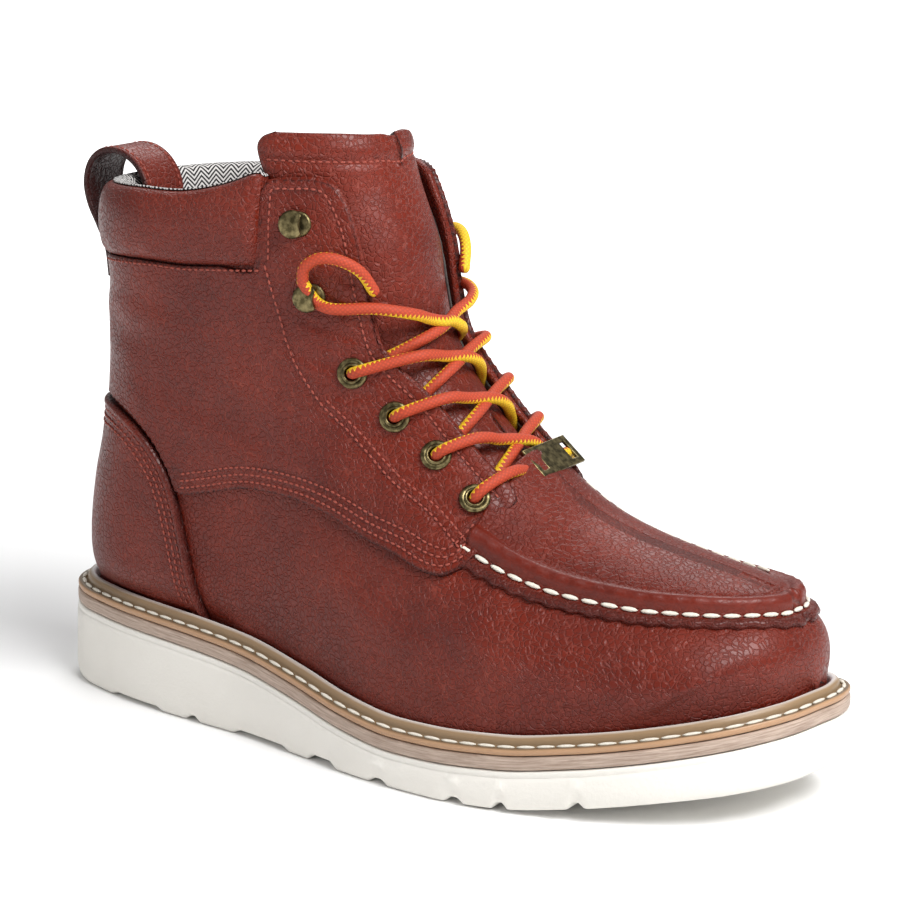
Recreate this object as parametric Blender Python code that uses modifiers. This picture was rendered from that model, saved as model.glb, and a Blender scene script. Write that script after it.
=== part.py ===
"""A right-foot wedge sole work boot, empty and standing on its sole.

Lengths in the tables are millimetres. x runs from the back of the heel to the toe,
y runs across with the inner side of the foot positive, and z runs up from the floor.
"""

import math

import bmesh
import bpy
import numpy as np
from mathutils import Matrix

MM = 0.001
GAP = 0.3  # clearance between pieces that touch on the real boot

# Start from an empty scene
for old in list(bpy.data.objects):
    bpy.data.objects.remove(old)
COLLECTION = bpy.data.collections.new("wedge_sole_work_boot")
bpy.context.scene.collection.children.link(COLLECTION)

# Driving sizes of the boot
MIDSOLE_THICK = 4.7
WELT_THICK = 2.4
RIB_HEIGHT = 3.3  # storm rib above the flat of the welt
RIB_WIDTH = 3.2
FEATHER_INSET = 8.3  # from the sole edge to the foot of the upper
LEATHER = 2.2  # wall of the upper
OVERLAY = 1.4  # panels sewn on top of it
HEEL_RECESS = 2.6  # the upper stands back under the heel counter
FLANGE = 9.0  # lasted margin turned in under the foot

# Sole edge from above, lateral side first: x, y
SOLE_EDGE = [
    (0, 0), (3.5, -14.5), (13.6, -24.7), (27.3, -30.6), (45.2, -35.7), (71.9, -40.1),
    (99.7, -43.4), (129.3, -49.7), (159.2, -56.6), (189.7, -59.7), (212.0, -58.5),
    (233.7, -54.1), (253.4, -48.1), (272.2, -39.7), (287.9, -28.7), (299.1, -12.7),
    (303.1, 3.1), (304.5, 14.0), (301.0, 27.0), (291.0, 38.0), (275.0, 46.0),
    (250.0, 51.0), (220.0, 52.5), (190.0, 51.0), (150.0, 45.0), (110.0, 39.5),
    (70.0, 36.8), (44.0, 34.8), (26.0, 30.8), (12.5, 23.5), (3.2, 13.0),
]
# Outsole thickness along the foot: x, thickness
SOLE_THICK = [
    (0, 28.9), (70, 26.8), (100, 24.3), (125, 20.1), (150, 15.1), (175, 12.4),
    (215, 13.3), (260, 13.8), (305, 16.2),
]
# Rise of the tread from the floor towards the toe: x, height
TOE_SPRING = [(0, 0), (150, 0), (190, 0), (215, 0.8), (240, 4.0), (270, 9.1), (305, 14.6)]
# Cross grooves of the tread at the lateral edge: first x, last x, depth
TREAD_GROOVES = [
    (32.5, 61.0, 1.2), (72.5, 80.3, 1.8), (95.7, 124.4, 1.5), (133.6, 148.8, 2.2),
    (163.6, 172.8, 1.8), (195.8, 203.7, 2.0), (213.7, 219.5, 2.2), (239.2, 245.0, 2.2),
]

# Upper in side view. Back line: z, x
BACK_LINE = [
    (30, 10.4), (44, 11.2), (57, 11.4), (78, 14.4), (94, 18.2), (105, 20.0), (113, 21.6),
    (135, 22.7), (164, 23.5), (180, 23.4), (200, 22.8),
]
# Front line over the toe, instep and shaft: x, z, rounding radius across the line
RIDGE_LINE = [
    (296.4, 36, 46), (297.8, 46, 46), (296.0, 56, 44), (291.0, 63, 42), (283, 67.8, 40),
    (268, 72.2, 38), (250, 75.8, 38), (232, 80.0, 38), (215, 86.3, 40), (202, 94.8, 44),
    (185, 110.0, 50), (168, 128.5, 55), (158, 144, 58), (154, 158, 60), (151.5, 172, 60),
    (146.5, 185, 60), (142, 196, 60), (137.5, 212, 60),
]
# Middle of the foot from above: x, y
MIDDLE_LINE = [(0, 0), (150, 0), (190, 1.5), (220, 3.5), (260, 6.5), (300, 9.2)]
# Half widths low on the foot, measured from the middle line: x, lateral, medial
FOOT_WIDTH = [
    (0, 29.5, 29.0), (45, 31.5, 30.0), (72, 33.5, 31.0), (100, 36.5, 33.0), (129, 43, 36),
    (159, 49.5, 39.5), (190, 53, 42.5), (212, 53.5, 42.5), (234, 51.5, 41.5),
    (253, 49, 39.0), (272, 46, 36.5), (285, 43, 35), (305, 41, 34),
]
# Half widths of the shaft by height: z, half width
SHAFT_WIDTH = [(40, 34), (80, 34), (105, 34.5), (130, 35.5), (160, 38), (185, 39.5), (210, 39.5)]
# Collar edge from the back seam to the front corner: x, z
COLLAR_LINE = [
    (23.4, 183.0), (40, 184.2), (54, 185.0), (74, 185.6), (92, 189.5), (105, 195.0),
    (118, 197.2), (126, 196.6), (130.5, 193.0),
]
# Edge of the lace opening, going down to its foot: x, z
FACING_LINE = [
    (130.5, 193.0), (136, 182), (139.5, 171), (142, 160), (144, 150), (146.5, 141.5),
    (152, 134.5), (163, 124.5), (176, 111.5), (190, 99.5), (197.5, 96.0),
]
HEEL_ROUND = 33.0
SHAFT_BACK_ROUND = 44.0
SECTION_POWER = 2.2


def slope_limited(xs, ys):
    """Slopes of a smooth curve through the points that never overshoots them."""
    steps = np.diff(ys) / np.diff(xs)
    slopes = np.zeros(len(xs))
    for i in range(1, len(xs) - 1):
        if steps[i - 1] * steps[i] > 0:
            slopes[i] = 2 * steps[i - 1] * steps[i] / (steps[i - 1] + steps[i])
    slopes[0], slopes[-1] = steps[0], steps[-1]
    return slopes


def lookup(table, at, column=1):
    """Value of one column of a table at a place along its first column."""
    xs = np.array([row[0] for row in table], float)
    ys = np.array([row[column] for row in table], float)
    slopes = slope_limited(xs, ys)
    at = np.clip(np.asarray(at, float), xs[0], xs[-1])
    i = np.clip(np.searchsorted(xs, at) - 1, 0, len(xs) - 2)
    width = xs[i + 1] - xs[i]
    t = (at - xs[i]) / width
    return (
        (2 * t**3 - 3 * t**2 + 1) * ys[i]
        + (t**3 - 2 * t**2 + t) * width * slopes[i]
        + (3 * t**2 - 2 * t**3) * ys[i + 1]
        + (t**3 - t**2) * width * slopes[i + 1]
    )


def smooth_path(points, closed=False, per_span=16):
    """A dense polyline through the points."""
    p = np.array(points, float)
    if closed:
        p = np.vstack([p[-1:], p, p[:2]])
    else:
        p = np.vstack([2 * p[:1] - p[1:2], p, 2 * p[-1:] - p[-2:-1]])
    knots = np.concatenate([[0], np.cumsum(np.linalg.norm(np.diff(p, axis=0), axis=1))])
    out = []
    for i in range(1, len(p) - 2):
        a, b = knots[i], knots[i + 1]
        before = (p[i + 1] - p[i - 1]) / (b - knots[i - 1])
        after = (p[i + 2] - p[i]) / (knots[i + 2] - a)
        t = np.linspace(0, 1, per_span, endpoint=False)[:, None]
        out.append(
            (2 * t**3 - 3 * t**2 + 1) * p[i]
            + (t**3 - 2 * t**2 + t) * (b - a) * before
            + (3 * t**2 - 2 * t**3) * p[i + 1]
            + (t**3 - t**2) * (b - a) * after
        )
    out.append(p[-2:-1])
    return np.vstack(out)


def along(path, fractions):
    """Points at these fractions of the length of a polyline."""
    run = np.concatenate([[0], np.cumsum(np.linalg.norm(np.diff(path, axis=0), axis=1))])
    at = np.asarray(fractions, float) * run[-1]
    return np.stack([np.interp(at, run, path[:, k]) for k in range(path.shape[1])], -1)


EDGE_PATH = smooth_path(SOLE_EDGE, closed=True)
EDGE_CENTRE = (EDGE_PATH.max(axis=0) + EDGE_PATH.min(axis=0)) / 2
EDGE_RUN = np.concatenate([[0], np.cumsum(np.linalg.norm(np.diff(EDGE_PATH, axis=0), axis=1))])
TIP_Y = 9.2
front = EDGE_PATH[:, 0] > 290
TIP = np.interp(TIP_Y, EDGE_PATH[front, 1], EDGE_RUN[front]) / EDGE_RUN[-1]


def sole_edge(fraction, inset, side):
    """Point of the sole edge moved inward. Fraction 0 is the heel, 1 the toe tip."""
    t = fraction * TIP if side < 0 else 1 - fraction * (1 - TIP)
    a, here, b = along(EDGE_PATH, [(t - 0.002) % 1, t % 1, (t + 0.002) % 1])
    tangent = (b - a) / np.linalg.norm(b - a)
    return here + inset * np.array([-tangent[1], tangent[0]])


def sole_top(x):
    return float(lookup(TOE_SPRING, x) + lookup(SOLE_THICK, x))


def feather_z(x):
    return sole_top(x) + 2 * GAP + MIDSOLE_THICK


RIDGE_PATH = smooth_path([row[:2] for row in RIDGE_LINE])
RIDGE_RADII = smooth_path([(i, row[2]) for i, row in enumerate(RIDGE_LINE)])[:, 1]


def ridge_distance(x, z):
    """Distance in side view to the front line, and the rounding radius there."""
    a, b = RIDGE_PATH[:-1], RIDGE_PATH[1:]
    ab = b - a
    p = np.array([x, z])
    t = np.clip(((p - a) * ab).sum(axis=1) / (ab * ab).sum(axis=1), 0, 1)
    d = np.linalg.norm(a + t[:, None] * ab - p, axis=1)
    k = int(d.argmin())
    return float(d[k]), float(RIDGE_RADII[k] * (1 - t[k]) + RIDGE_RADII[k + 1] * t[k])


def rounding(distance, radius):
    q = 1 - min(max(distance / radius, 0), 1)
    return (1 - q**SECTION_POWER) ** (1 / SECTION_POWER)


def smooth_step(t):
    t = min(max(t, 0), 1)
    return t * t * (3 - 2 * t)


def back_x(z):
    return float(lookup(BACK_LINE, z))


def middle_y(x):
    return float(lookup(MIDDLE_LINE, x))


def feather_inset(x):
    return FEATHER_INSET + HEEL_RECESS * (1 - smooth_step((x - 77) / 22))


FOOT_UPRIGHT = 5.5  # height over which the upper stands straight up from its foot
FOOT_BLEND = 15.0
FEATHER_LINES = {}
for side in (-1, 1):
    line = []
    for fraction in np.linspace(0, 1, 241):
        inset = feather_inset(sole_edge(fraction, FEATHER_INSET, side)[0])
        x, y = sole_edge(fraction, inset, side)
        line.append((x, max(side * (y - middle_y(x)), 0.0)))
    FEATHER_LINES[side] = np.array(line)


def half_width(side, x, z):
    """Half width of the upper's outer face on one side, from the middle line."""
    low = float(lookup(FOOT_WIDTH, x, 1 if side < 0 else 2))
    high = float(lookup(SHAFT_WIDTH, z))
    mix = smooth_step((z - 45) / 75)
    body = low * (1 - mix) + high * mix
    back_round = HEEL_ROUND + (SHAFT_BACK_ROUND - HEEL_ROUND) * smooth_step((z - 70) / 70)
    distance, radius = ridge_distance(x, z)
    wide = body * rounding(x - back_x(z), back_round) * rounding(distance, radius)
    low = max(0.0, 1 - max(z - feather_z(x) - FOOT_UPRIGHT, 0) / FOOT_BLEND) ** 2
    if low > 0:
        foot = FEATHER_LINES[side]
        wide = wide * (1 - low) + float(np.interp(x, foot[:, 0], foot[:, 1])) * low
    return wide


def skin(side, x, z, lift=0.0):
    """Point on the upper's outer face, lifted off it along its normal."""
    step = 0.05
    w = half_width(side, x, z)
    wx = (half_width(side, x + step, z) - half_width(side, x - step, z)) / (2 * step)
    wz = (half_width(side, x, z + step) - half_width(side, x, z - step)) / (2 * step)
    bend = (middle_y(x + step) - middle_y(x - step)) / (2 * step)
    normal = np.array([-side * bend - wx, side, -wz])
    normal /= np.linalg.norm(normal)
    return np.array([x, middle_y(x) + side * w, z]) + lift * normal


# Materials named for the real ones
def material(name, colour, roughness, metallic=0.0):
    made = bpy.data.materials.new(name)
    made.use_nodes = True
    shader = made.node_tree.nodes["Principled BSDF"]
    shader.inputs["Base Color"].default_value = (*colour, 1)
    shader.inputs["Roughness"].default_value = roughness
    shader.inputs["Metallic"].default_value = metallic
    return made


LEATHER_RED = material("pebbled_leather", (0.20, 0.035, 0.022), 0.5)
LINING = material("woven_lining", (0.35, 0.35, 0.35), 0.9)
RUBBER = material("white_foam_rubber", (0.80, 0.77, 0.70), 0.7)
LAYER = material("grained_midsole", (0.45, 0.36, 0.29), 0.6)
WELT_RUBBER = material("welt_rubber", (0.24, 0.18, 0.11), 0.5)
BRASS = material("aged_brass", (0.16, 0.13, 0.07), 0.4, 1.0)
LACE = material("lace_braid", (0.80, 0.50, 0.05), 0.8)
BOARD = material("insole_board", (0.45, 0.33, 0.20), 0.9)


def shifted(point):
    """Table millimetres to metres, with the sole centred over the origin."""
    x, y, z = point
    return ((x - EDGE_CENTRE[0]) * MM, (y - EDGE_CENTRE[1]) * MM, z * MM)


def add_mesh(name, points, faces, look, link=True):
    """Object from points in table millimetres, points that coincide made one."""
    mesh = bpy.data.meshes.new(name)
    mesh.from_pydata([shifted(p) for p in points], [], faces)
    work = bmesh.new()
    work.from_mesh(mesh)
    bmesh.ops.remove_doubles(work, verts=work.verts, dist=0.02 * MM)
    bmesh.ops.dissolve_degenerate(work, edges=work.edges, dist=0.02 * MM)
    bmesh.ops.recalc_face_normals(work, faces=work.faces)
    work.to_mesh(mesh)
    work.free()
    mesh.materials.append(look)
    made = bpy.data.objects.new(name, mesh)
    if link:
        COLLECTION.objects.link(made)
    return made


def loft(name, sections, look, closed=False):
    """Solid through equal closed sections; open runs get end caps."""
    count = len(sections[0])
    points = [p for section in sections for p in section]
    faces = []
    spans = len(sections) if closed else len(sections) - 1
    for i in range(spans):
        a, b = i * count, (i + 1) % len(sections) * count
        for j in range(count):
            k = (j + 1) % count
            faces.append((a + j, a + k, b + k, b + j))
    if not closed:
        faces.append(tuple(range(count)))
        faces.append(tuple((len(sections) - 1) * count + j for j in range(count)))
    return add_mesh(name, points, faces, look)


def slab(name, outer, inner, look):
    """Solid between two equal grids of points, closed round their borders."""
    rows, cols = len(outer), len(outer[0])
    points = [p for row in outer for p in row] + [p for row in inner for p in row]
    half = rows * cols
    faces = []
    for i in range(rows - 1):
        for j in range(cols - 1):
            a, b, c, d = (i * cols + j, i * cols + j + 1,
                          (i + 1) * cols + j + 1, (i + 1) * cols + j)
            faces += [(a, b, c, d), (half + d, half + c, half + b, half + a)]
    border = (
        [j for j in range(cols)]
        + [i * cols + cols - 1 for i in range(1, rows)]
        + [(rows - 1) * cols + j for j in range(cols - 2, -1, -1)]
        + [i * cols for i in range(rows - 2, 0, -1)]
    )
    for a, b in zip(border, border[1:] + border[:1]):
        faces.append((a, half + a, half + b, b))
    return add_mesh(name, points, faces, look)


# Stations along the sole, closer together round the heel and the toe
def blended_fractions(count):
    even = np.linspace(0, 1, count)
    return 0.6 * even + 0.4 * (1 - np.cos(math.pi * even)) / 2


LATERAL_X = np.array([sole_edge(f, 0, -1)[0] for f in np.linspace(0, 1, 400)])


def fraction_at(x):
    return float(np.interp(x, LATERAL_X, np.linspace(0, 1, 400)))


# Outsole: one wedge of foamed rubber, heel and forefoot in one, grooved across
GROOVE_SLOPE = 1.6
groove_stations = {0.0: 0.0}
for first, last, depth in TREAD_GROOVES:
    groove_stations[fraction_at(first)] = 0.0
    groove_stations[fraction_at(first + GROOVE_SLOPE)] = depth
    groove_stations[fraction_at(last - GROOVE_SLOPE)] = depth
    groove_stations[fraction_at(last)] = 0.0
groove_stations[1.0] = 0.0
MIN_STATION_GAP = 0.012
stations = sorted(groove_stations)
for extra in blended_fractions(27):
    if min(abs(extra - s) for s in stations) > MIN_STATION_GAP:
        stations = sorted(stations + [float(extra)])


def groove_depth(fraction):
    keys = sorted(groove_stations)
    return float(np.interp(fraction, keys, [groove_stations[k] for k in keys]))


def outsole_section(fraction):
    depth = groove_depth(fraction)
    sides = []
    for side in (-1, 1):
        rows = []
        for inset, from_top, height in (
            (0.9, 0.0, None), (0.4, 0.6, None), (-0.3, None, 7.0), (0.3, None, 1.8),
            (1.9, None, 0.0),
        ):
            x, y = sole_edge(fraction, inset, side)
            tread = float(lookup(TOE_SPRING, x))
            if height is None:
                z = sole_top(x) - from_top
            else:
                z = tread + height + (depth if height < 6 else 0)
            rows.append((x, y, z))
        sides.append(rows)
    lateral, medial = sides
    across = []
    for share in (0.33, 0.67):
        a, b = np.array(lateral[-1]), np.array(medial[-1])
        across.append(tuple(a + share * (b - a)))
    return lateral + across + medial[::-1]


loft("outsole", [outsole_section(s) for s in stations], RUBBER)

# Midsole: an even layer that follows the top of the wedge
MIDSOLE_ROWS = ((0.9, GAP + 0.1), (0.4, 0.9), (0.4, MIDSOLE_THICK - 0.3), (0.9, MIDSOLE_THICK + GAP))


def layer_section(fraction, rows):
    """Closed section of a plate: rows of inset and height over the outsole."""
    sides = []
    for side in (-1, 1):
        line = []
        for inset, height in rows:
            x, y = sole_edge(fraction, inset, side)
            line.append((x, y, sole_top(x) + height))
        sides.append(line)
    return sides[0] + sides[1][::-1]


loft("midsole", [layer_section(s, MIDSOLE_ROWS) for s in blended_fractions(28)], LAYER)

# Welt: a strip all round the sole edge with the storm rib standing against the upper
WELT_COUNT = 66
rib_out = FEATHER_INSET - 1.1 - RIB_WIDTH
WELT_PROFILE = (
    (1.0, 0.0), (0.7, 0.5), (0.9, WELT_THICK), (rib_out, WELT_THICK),
    (rib_out + 0.3, WELT_THICK + 0.6 * RIB_HEIGHT), (rib_out + 1.1, WELT_THICK + 0.95 * RIB_HEIGHT),
    (rib_out + 2.2, WELT_THICK + RIB_HEIGHT), (rib_out + RIB_WIDTH, WELT_THICK + 0.75 * RIB_HEIGHT),
    (rib_out + RIB_WIDTH, 0.0),
)
welt_sections = []
for k in range(WELT_COUNT):
    turn = 2 * k / WELT_COUNT
    fraction, side = (turn, -1) if turn <= 1 else (2 - turn, 1)
    section = []
    for inset, height in WELT_PROFILE:
        x, y = sole_edge(fraction, inset, side)
        section.append((x, y, feather_z(x) + height))
    welt_sections.append(section)
loft("welt", welt_sections, WELT_RUBBER, closed=True)

# Upper: one shell, heel to toe, open at the collar, down the throat and underneath
UPPER_ROWS = 10
UPRIGHT_ROW = 6.0  # height of the first row of faces
HEEL_CROWDING = 1.8  # columns and stations lie closer together round the heel
COLLAR_COLUMNS, FACING_COLUMNS, VAMP_COLUMNS = 10, 10, 12
COLLAR_SHARE, FACING_SHARE = 0.30, 0.60  # shares of the feather line under each
THROAT_Z = 95.5
vamp_ridge = RIDGE_PATH[: int(np.argmax(RIDGE_PATH[:, 1] > THROAT_Z))][::-1]
vamp_ridge = vamp_ridge[vamp_ridge[:, 1] >= 44.0]


def column_ends():
    """Feather fraction, then x and z of the upper end, for every column of one side."""
    ends = []
    for i in range(COLLAR_COLUMNS):
        u = i / COLLAR_COLUMNS
        top = along(smooth_path(COLLAR_LINE), u**HEEL_CROWDING)
        ends.append((u * COLLAR_SHARE, *top, False))
    for i in range(FACING_COLUMNS + 1):
        u = i / FACING_COLUMNS
        share = COLLAR_SHARE + u * (FACING_SHARE - COLLAR_SHARE)
        ends.append((share, *along(smooth_path(FACING_LINE), u), False))
    for i in range(1, VAMP_COLUMNS + 1):
        u = (i - 1) / (VAMP_COLUMNS - 1)
        share = FACING_SHARE + i / VAMP_COLUMNS * (1 - FACING_SHARE)
        ends.append((share, *along(vamp_ridge, u), True))
    return ends


def upper_column(side, share, top_x, top_z, on_ridge):
    inset = feather_inset(sole_edge(share, FEATHER_INSET, side)[0])
    foot_x, foot_y = sole_edge(share, inset, side)
    foot_z = feather_z(foot_x)
    in_x, in_y = sole_edge(share, inset + FLANGE, side)
    column = [(in_x, in_y, feather_z(in_x)), (foot_x, foot_y, foot_z)]
    for j in range(1, UPPER_ROWS + 1):
        first = UPRIGHT_ROW / (top_z - foot_z)
        v = first + (1 - first) * (j - 1) / (UPPER_ROWS - 1)
        bend = smooth_step((share - COLLAR_SHARE) / (FACING_SHARE - COLLAR_SHARE))
        if j > 1:
            v += 0.45 * bend * (math.sin(v * math.pi / 2) - v)
        z = foot_z + (top_z - foot_z) * v
        x = foot_x + (top_x - foot_x) * v
        straight = 10.4 + (back_x(top_z) - 10.4) * v
        near = max(0.0, 1 - max(x - straight, 0) / 70) ** 2
        x += (back_x(z) - straight) * near
        if on_ridge and j == UPPER_ROWS:
            column.append((top_x, middle_y(top_x), top_z))
            continue
        wide = half_width(side, x, z) if 0 < share < 1 else 0.0
        column.append((x, middle_y(x) + side * wide, z))
    return column


columns = [upper_column(-1, *end) for end in column_ends()]
columns += [upper_column(1, *end) for end in column_ends()][::-1][1:-1]
count = len(columns[0])
points = [p for column in columns for p in column]
faces = []
for i in range(len(columns)):
    a, b = i * count, (i + 1) % len(columns) * count
    for j in range(count - 1):
        faces.append((a + j, b + j, b + j + 1, a + j + 1))
upper = add_mesh("upper", points, faces, LEATHER_RED)
wall = upper.modifiers.new("wall", "SOLIDIFY")
wall.thickness = LEATHER * MM
wall.offset = -1
wall.use_even_offset = True

# Insole: lies on the lasted margin and fills the hollow inside it
INSOLE_SIDE = LEATHER + 1.2
INSOLE_THICK = 3.0
FILLER_SIDE = FLANGE + 1.0
base = 2 * GAP + MIDSOLE_THICK


def insole_section(fraction):
    sides = []
    for side in (-1, 1):
        edge = feather_inset(sole_edge(fraction, FEATHER_INSET, side)[0])
        line = []
        for inset, height in (
            (FILLER_SIDE, GAP), (FILLER_SIDE, LEATHER + 2 * GAP),
            (INSOLE_SIDE, LEATHER + 2 * GAP), (INSOLE_SIDE, LEATHER + 2 * GAP + INSOLE_THICK),
        ):
            x, y = sole_edge(fraction, edge + inset, side)
            line.append((x, y, sole_top(x) + base + height))
        sides.append(line)
    return sides[0] + sides[1][::-1]


loft("insole", [insole_section(s) for s in blended_fractions(19)], BOARD)

# Panels follow the upper's own faces. Each one is a grid between a lower and an upper line
PANEL_LIFT = 0.9
PANEL_TOP = PANEL_LIFT + OVERLAY


def panel(name, places, lifts, look):
    """Slab on the skin: rows of (side, x, z), with the lift of its outer face at each."""
    outer = [[skin(*place, lift) for place, lift in zip(row, high)]
             for row, high in zip(places, lifts)]
    inner = [[skin(*place, PANEL_LIFT) for place in row] for row in places]
    return slab(name, outer, inner, look)


# Quarter: shaft panel with the lace facing; lower line x, z, then upper line x, z
QUARTER_LINES = [
    (24.0, 110.6, 23.9, 159.8), (29.5, 110.8, 28.5, 161.0), (36.0, 110.2, 34.0, 162.0),
    (41.8, 109.0, 40.0, 162.7), (47.5, 106.6, 46.0, 163.2), (52.8, 102.8, 53.0, 163.6),
    (57.5, 98.0, 60.0, 163.8), (62.8, 89.8, 67.0, 163.8), (67.3, 81.6, 75.0, 163.8),
    (78.0, 82.8, 90.0, 165.0), (92.0, 86.3, 106.0, 166.2), (102.0, 87.8, 107.6, 193.6),
    (114.0, 87.8, 118.5, 196.2), (126.0, 86.7, 125.8, 195.6), (136.0, 84.7, 129.8, 192.2),
    (145.0, 81.9, 135.3, 181.5), (153.0, 79.4, 138.8, 170.3), (161.0, 77.4, 141.9, 155.0),
    (168.0, 75.6, 146.0, 141.2), (174.0, 73.4, 151.6, 134.0), (180.0, 71.9, 162.6, 124.0),
    (186.0, 71.9, 175.6, 111.0), (191.5, 75.3, 188.6, 99.8), (194.5, 80.0, 194.2, 95.6),
    (197.3, 86.0, 197.2, 92.5),
]
QUARTER_ROWS = 6
for name, side in (("quarter_lateral", -1), ("quarter_medial", 1)):
    places, lifts = [], []
    for row in range(QUARTER_ROWS):
        v = row / (QUARTER_ROWS - 1)
        places.append([
            (side, a + v * (c - a), b + v * (d - b)) for a, b, c, d in QUARTER_LINES
        ])
        lifts.append([PANEL_TOP] * len(QUARTER_LINES))
    panel(name, places, lifts, LEATHER_RED)

# Heel counter: wraps the heel from front edge to front edge; lower x, then upper x, z
COUNTER_LINES = [
    (78.5, 67.2, 76.0), (70.0, 63.5, 86.0), (60.0, 57.5, 95.4), (49.0, 48.0, 103.8),
    (38.0, 37.0, 107.8), (27.0, 28.5, 108.3), (18.0, 23.6, 108.2), (12.0, 21.6, 108.0),
]
COUNTER_HEIGHTS = (0.0, 0.085, 0.32, 0.64, 1.0)  # shares, foot to top edge
COUNTER_ROWS = len(COUNTER_HEIGHTS)
COUNTER_FOOT = 0.8
COUNTER_RIM = 0.7  # the folded edge stands a little prouder
counter_path = smooth_path(COUNTER_LINES, per_span=2)
half_places = []
for low_x, top_x, top_z in counter_path:
    line = []
    for v in COUNTER_HEIGHTS:
        foot_z = feather_z(low_x) + COUNTER_FOOT
        z = foot_z + v * (top_z - foot_z)
        floor_x = 10.6 + (back_x(top_z) - 10.6) * v
        x = low_x + v * (top_x - low_x)
        near = max(0.0, 1 - max(x - floor_x, 0) / 50) ** 2
        line.append((x + (back_x(z) - floor_x) * near, z))
    half_places.append(line)
centre = [(back_x(z) + 0.02, z) for _, z in half_places[-1]]
counter_columns = (
    [[(-1, x, z) for x, z in line] for line in half_places]
    + [[(-1, x, z) for x, z in centre]]
    + [[(1, x, z) for x, z in line] for line in reversed(half_places)]
)
places = [[column[row] for column in counter_columns] for row in range(COUNTER_ROWS)]
last = len(counter_columns) - 1
lifts = [
    [PANEL_TOP + (COUNTER_RIM if row == COUNTER_ROWS - 1 or row and i in (0, last) else 0)
     for i in range(last + 1)]
    for row in range(COUNTER_ROWS)
]
panel("heel_counter", places, lifts, LEATHER_RED)

# Backstay: narrow strip over the back seam, from above the counter to the cuff
BACKSTAY_HALF = 9.0
BACKSTAY_Z = (112.0, 124.0, 136.0, 148.0, 159.0)
BACKSTAY_LIFT = PANEL_TOP + 0.35


def back_point(z, across, lift):
    """Point behind the back seam: across is measured round the heel curve."""
    side = -1 if across < 0 else 1
    low, high = back_x(z), back_x(z) + 20
    for _ in range(30):
        x = (low + high) / 2
        if half_width(side, x, z) < abs(across):
            low = x
        else:
            high = x
    return skin(side, high + 0.01, z, lift)


outer, inner = [], []
for z in BACKSTAY_Z:
    across = np.linspace(-BACKSTAY_HALF, BACKSTAY_HALF, 7)
    outer.append([back_point(z, a, BACKSTAY_LIFT + 1.2) for a in across])
    inner.append([back_point(z, a, BACKSTAY_LIFT) for a in across])
slab("backstay", outer, inner, LEATHER_RED)


def ridge_at(z):
    """x on the front line above the toe box at this height."""
    above = RIDGE_PATH[RIDGE_PATH[:, 1] >= 60]
    return float(np.interp(z, above[:, 1], above[:, 0]))


def over_ridge(z, across, lift):
    """Point on the skin met by going inward from the front line at height z."""
    side = -1 if across < 0 else 1
    x = ridge_at(z)
    near, far = ridge_at(z - 1), ridge_at(z + 1)
    inward = np.array([-2.0, far - near])
    inward /= np.linalg.norm(inward)
    low, high = 0.02, 45.0
    for _ in range(30):
        d = (low + high) / 2
        if half_width(side, x + d * inward[0], z + d * inward[1]) < abs(across):
            low = d
        else:
            high = d
    return skin(side, x + high * inward[0], z + high * inward[1], lift)


# Apron of the moc toe: plate with a raised seam round it; x, lateral and medial half width
APRON_LINES = [
    (201.0, 37.5, 31.5), (206, 37.6, 32.2), (214, 37.4, 32.6), (222, 36.8, 32.5),
    (231, 35.4, 31.8), (240, 33.7, 30.8), (249, 31.8, 29.4), (258, 29.2, 27.6),
    (266, 26.2, 25.2), (273, 22.6, 22.0), (279, 18.2, 18.0), (283.5, 13.2, 13.2),
    (286.5, 7.8, 7.8), (287.6, 3.0, 3.0),
]
# Share of the half width, then lift of the outer face
APRON_ACROSS = (
    (-1.0, 1.8), (-0.96, 3.7), (-0.88, 4.0), (-0.8, 3.0), (-0.4, 2.7), (0.0, 2.6),
    (0.4, 2.7), (0.8, 3.0), (0.88, 4.0), (0.96, 3.7), (1.0, 1.8),
)


APRON_UNDER = 1.2  # its flat underside bridges the rounded vamp


def apron_point(x, across, lift):
    side = -1 if across < 0 else 1
    above = RIDGE_PATH[(RIDGE_PATH[:, 1] >= 55) & (RIDGE_PATH[:, 1] < 100)][::-1]
    high = float(np.interp(x, above[:, 0], above[:, 1])) - 0.05
    low = high - 30
    for _ in range(30):
        z = (low + high) / 2
        if half_width(side, x, z) < abs(across):
            high = z
        else:
            low = z
    return skin(side, x, low, lift)


outer, inner = [], []
for i, (x, lateral, medial) in enumerate(APRON_LINES):
    end_rim = 1.5 * smooth_step((x - 276) / 9)
    top, bottom = [], []
    for share, lift in APRON_ACROSS:
        across = share * (lateral if share < 0 else medial)
        if i == len(APRON_LINES) - 1:
            lift = min(lift, 2.0)
        elif abs(share) < 0.85:
            lift += end_rim
        top.append(apron_point(x, across, lift))
        bottom.append(apron_point(x, across, PANEL_LIFT if abs(share) > 0.85 else APRON_UNDER))
    outer.append(top)
    inner.append(bottom)
slab("moc_apron", outer, inner, LEATHER_RED)

# Collar cuff: padded band over the top edge of the shaft, open in front
CUFF_SEAM = [(23.9, 161.2), (40, 163.6), (60, 165.2), (75, 165.2), (90, 166.4), (106, 167.6)]
CUFF_TOP = [(23.4, 183.0), (40, 184.2), (54, 185.0), (74, 185.6), (92, 189.5), (106, 195.1)]
# Share of the height from seam to wall edge, lift from the skin, extra height
CUFF_PROFILE = (
    (0.0, 0.9, 0.0), (0.02, 2.2, 0.0), (0.35, 3.2, 0.0), (0.8, 3.0, 0.0), (1.0, 1.6, 2.6),
    (1.0, -1.2, 3.6), (1.0, -4.8, 1.8), (0.7, -6.6, 0.0), (0.25, -6.2, 0.0),
    (0.0, -3.4, 0.0), (1.0, -3.4, 1.0), (1.0, 0.9, 1.0),
)
CUFF_STEPS = 13


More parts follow.
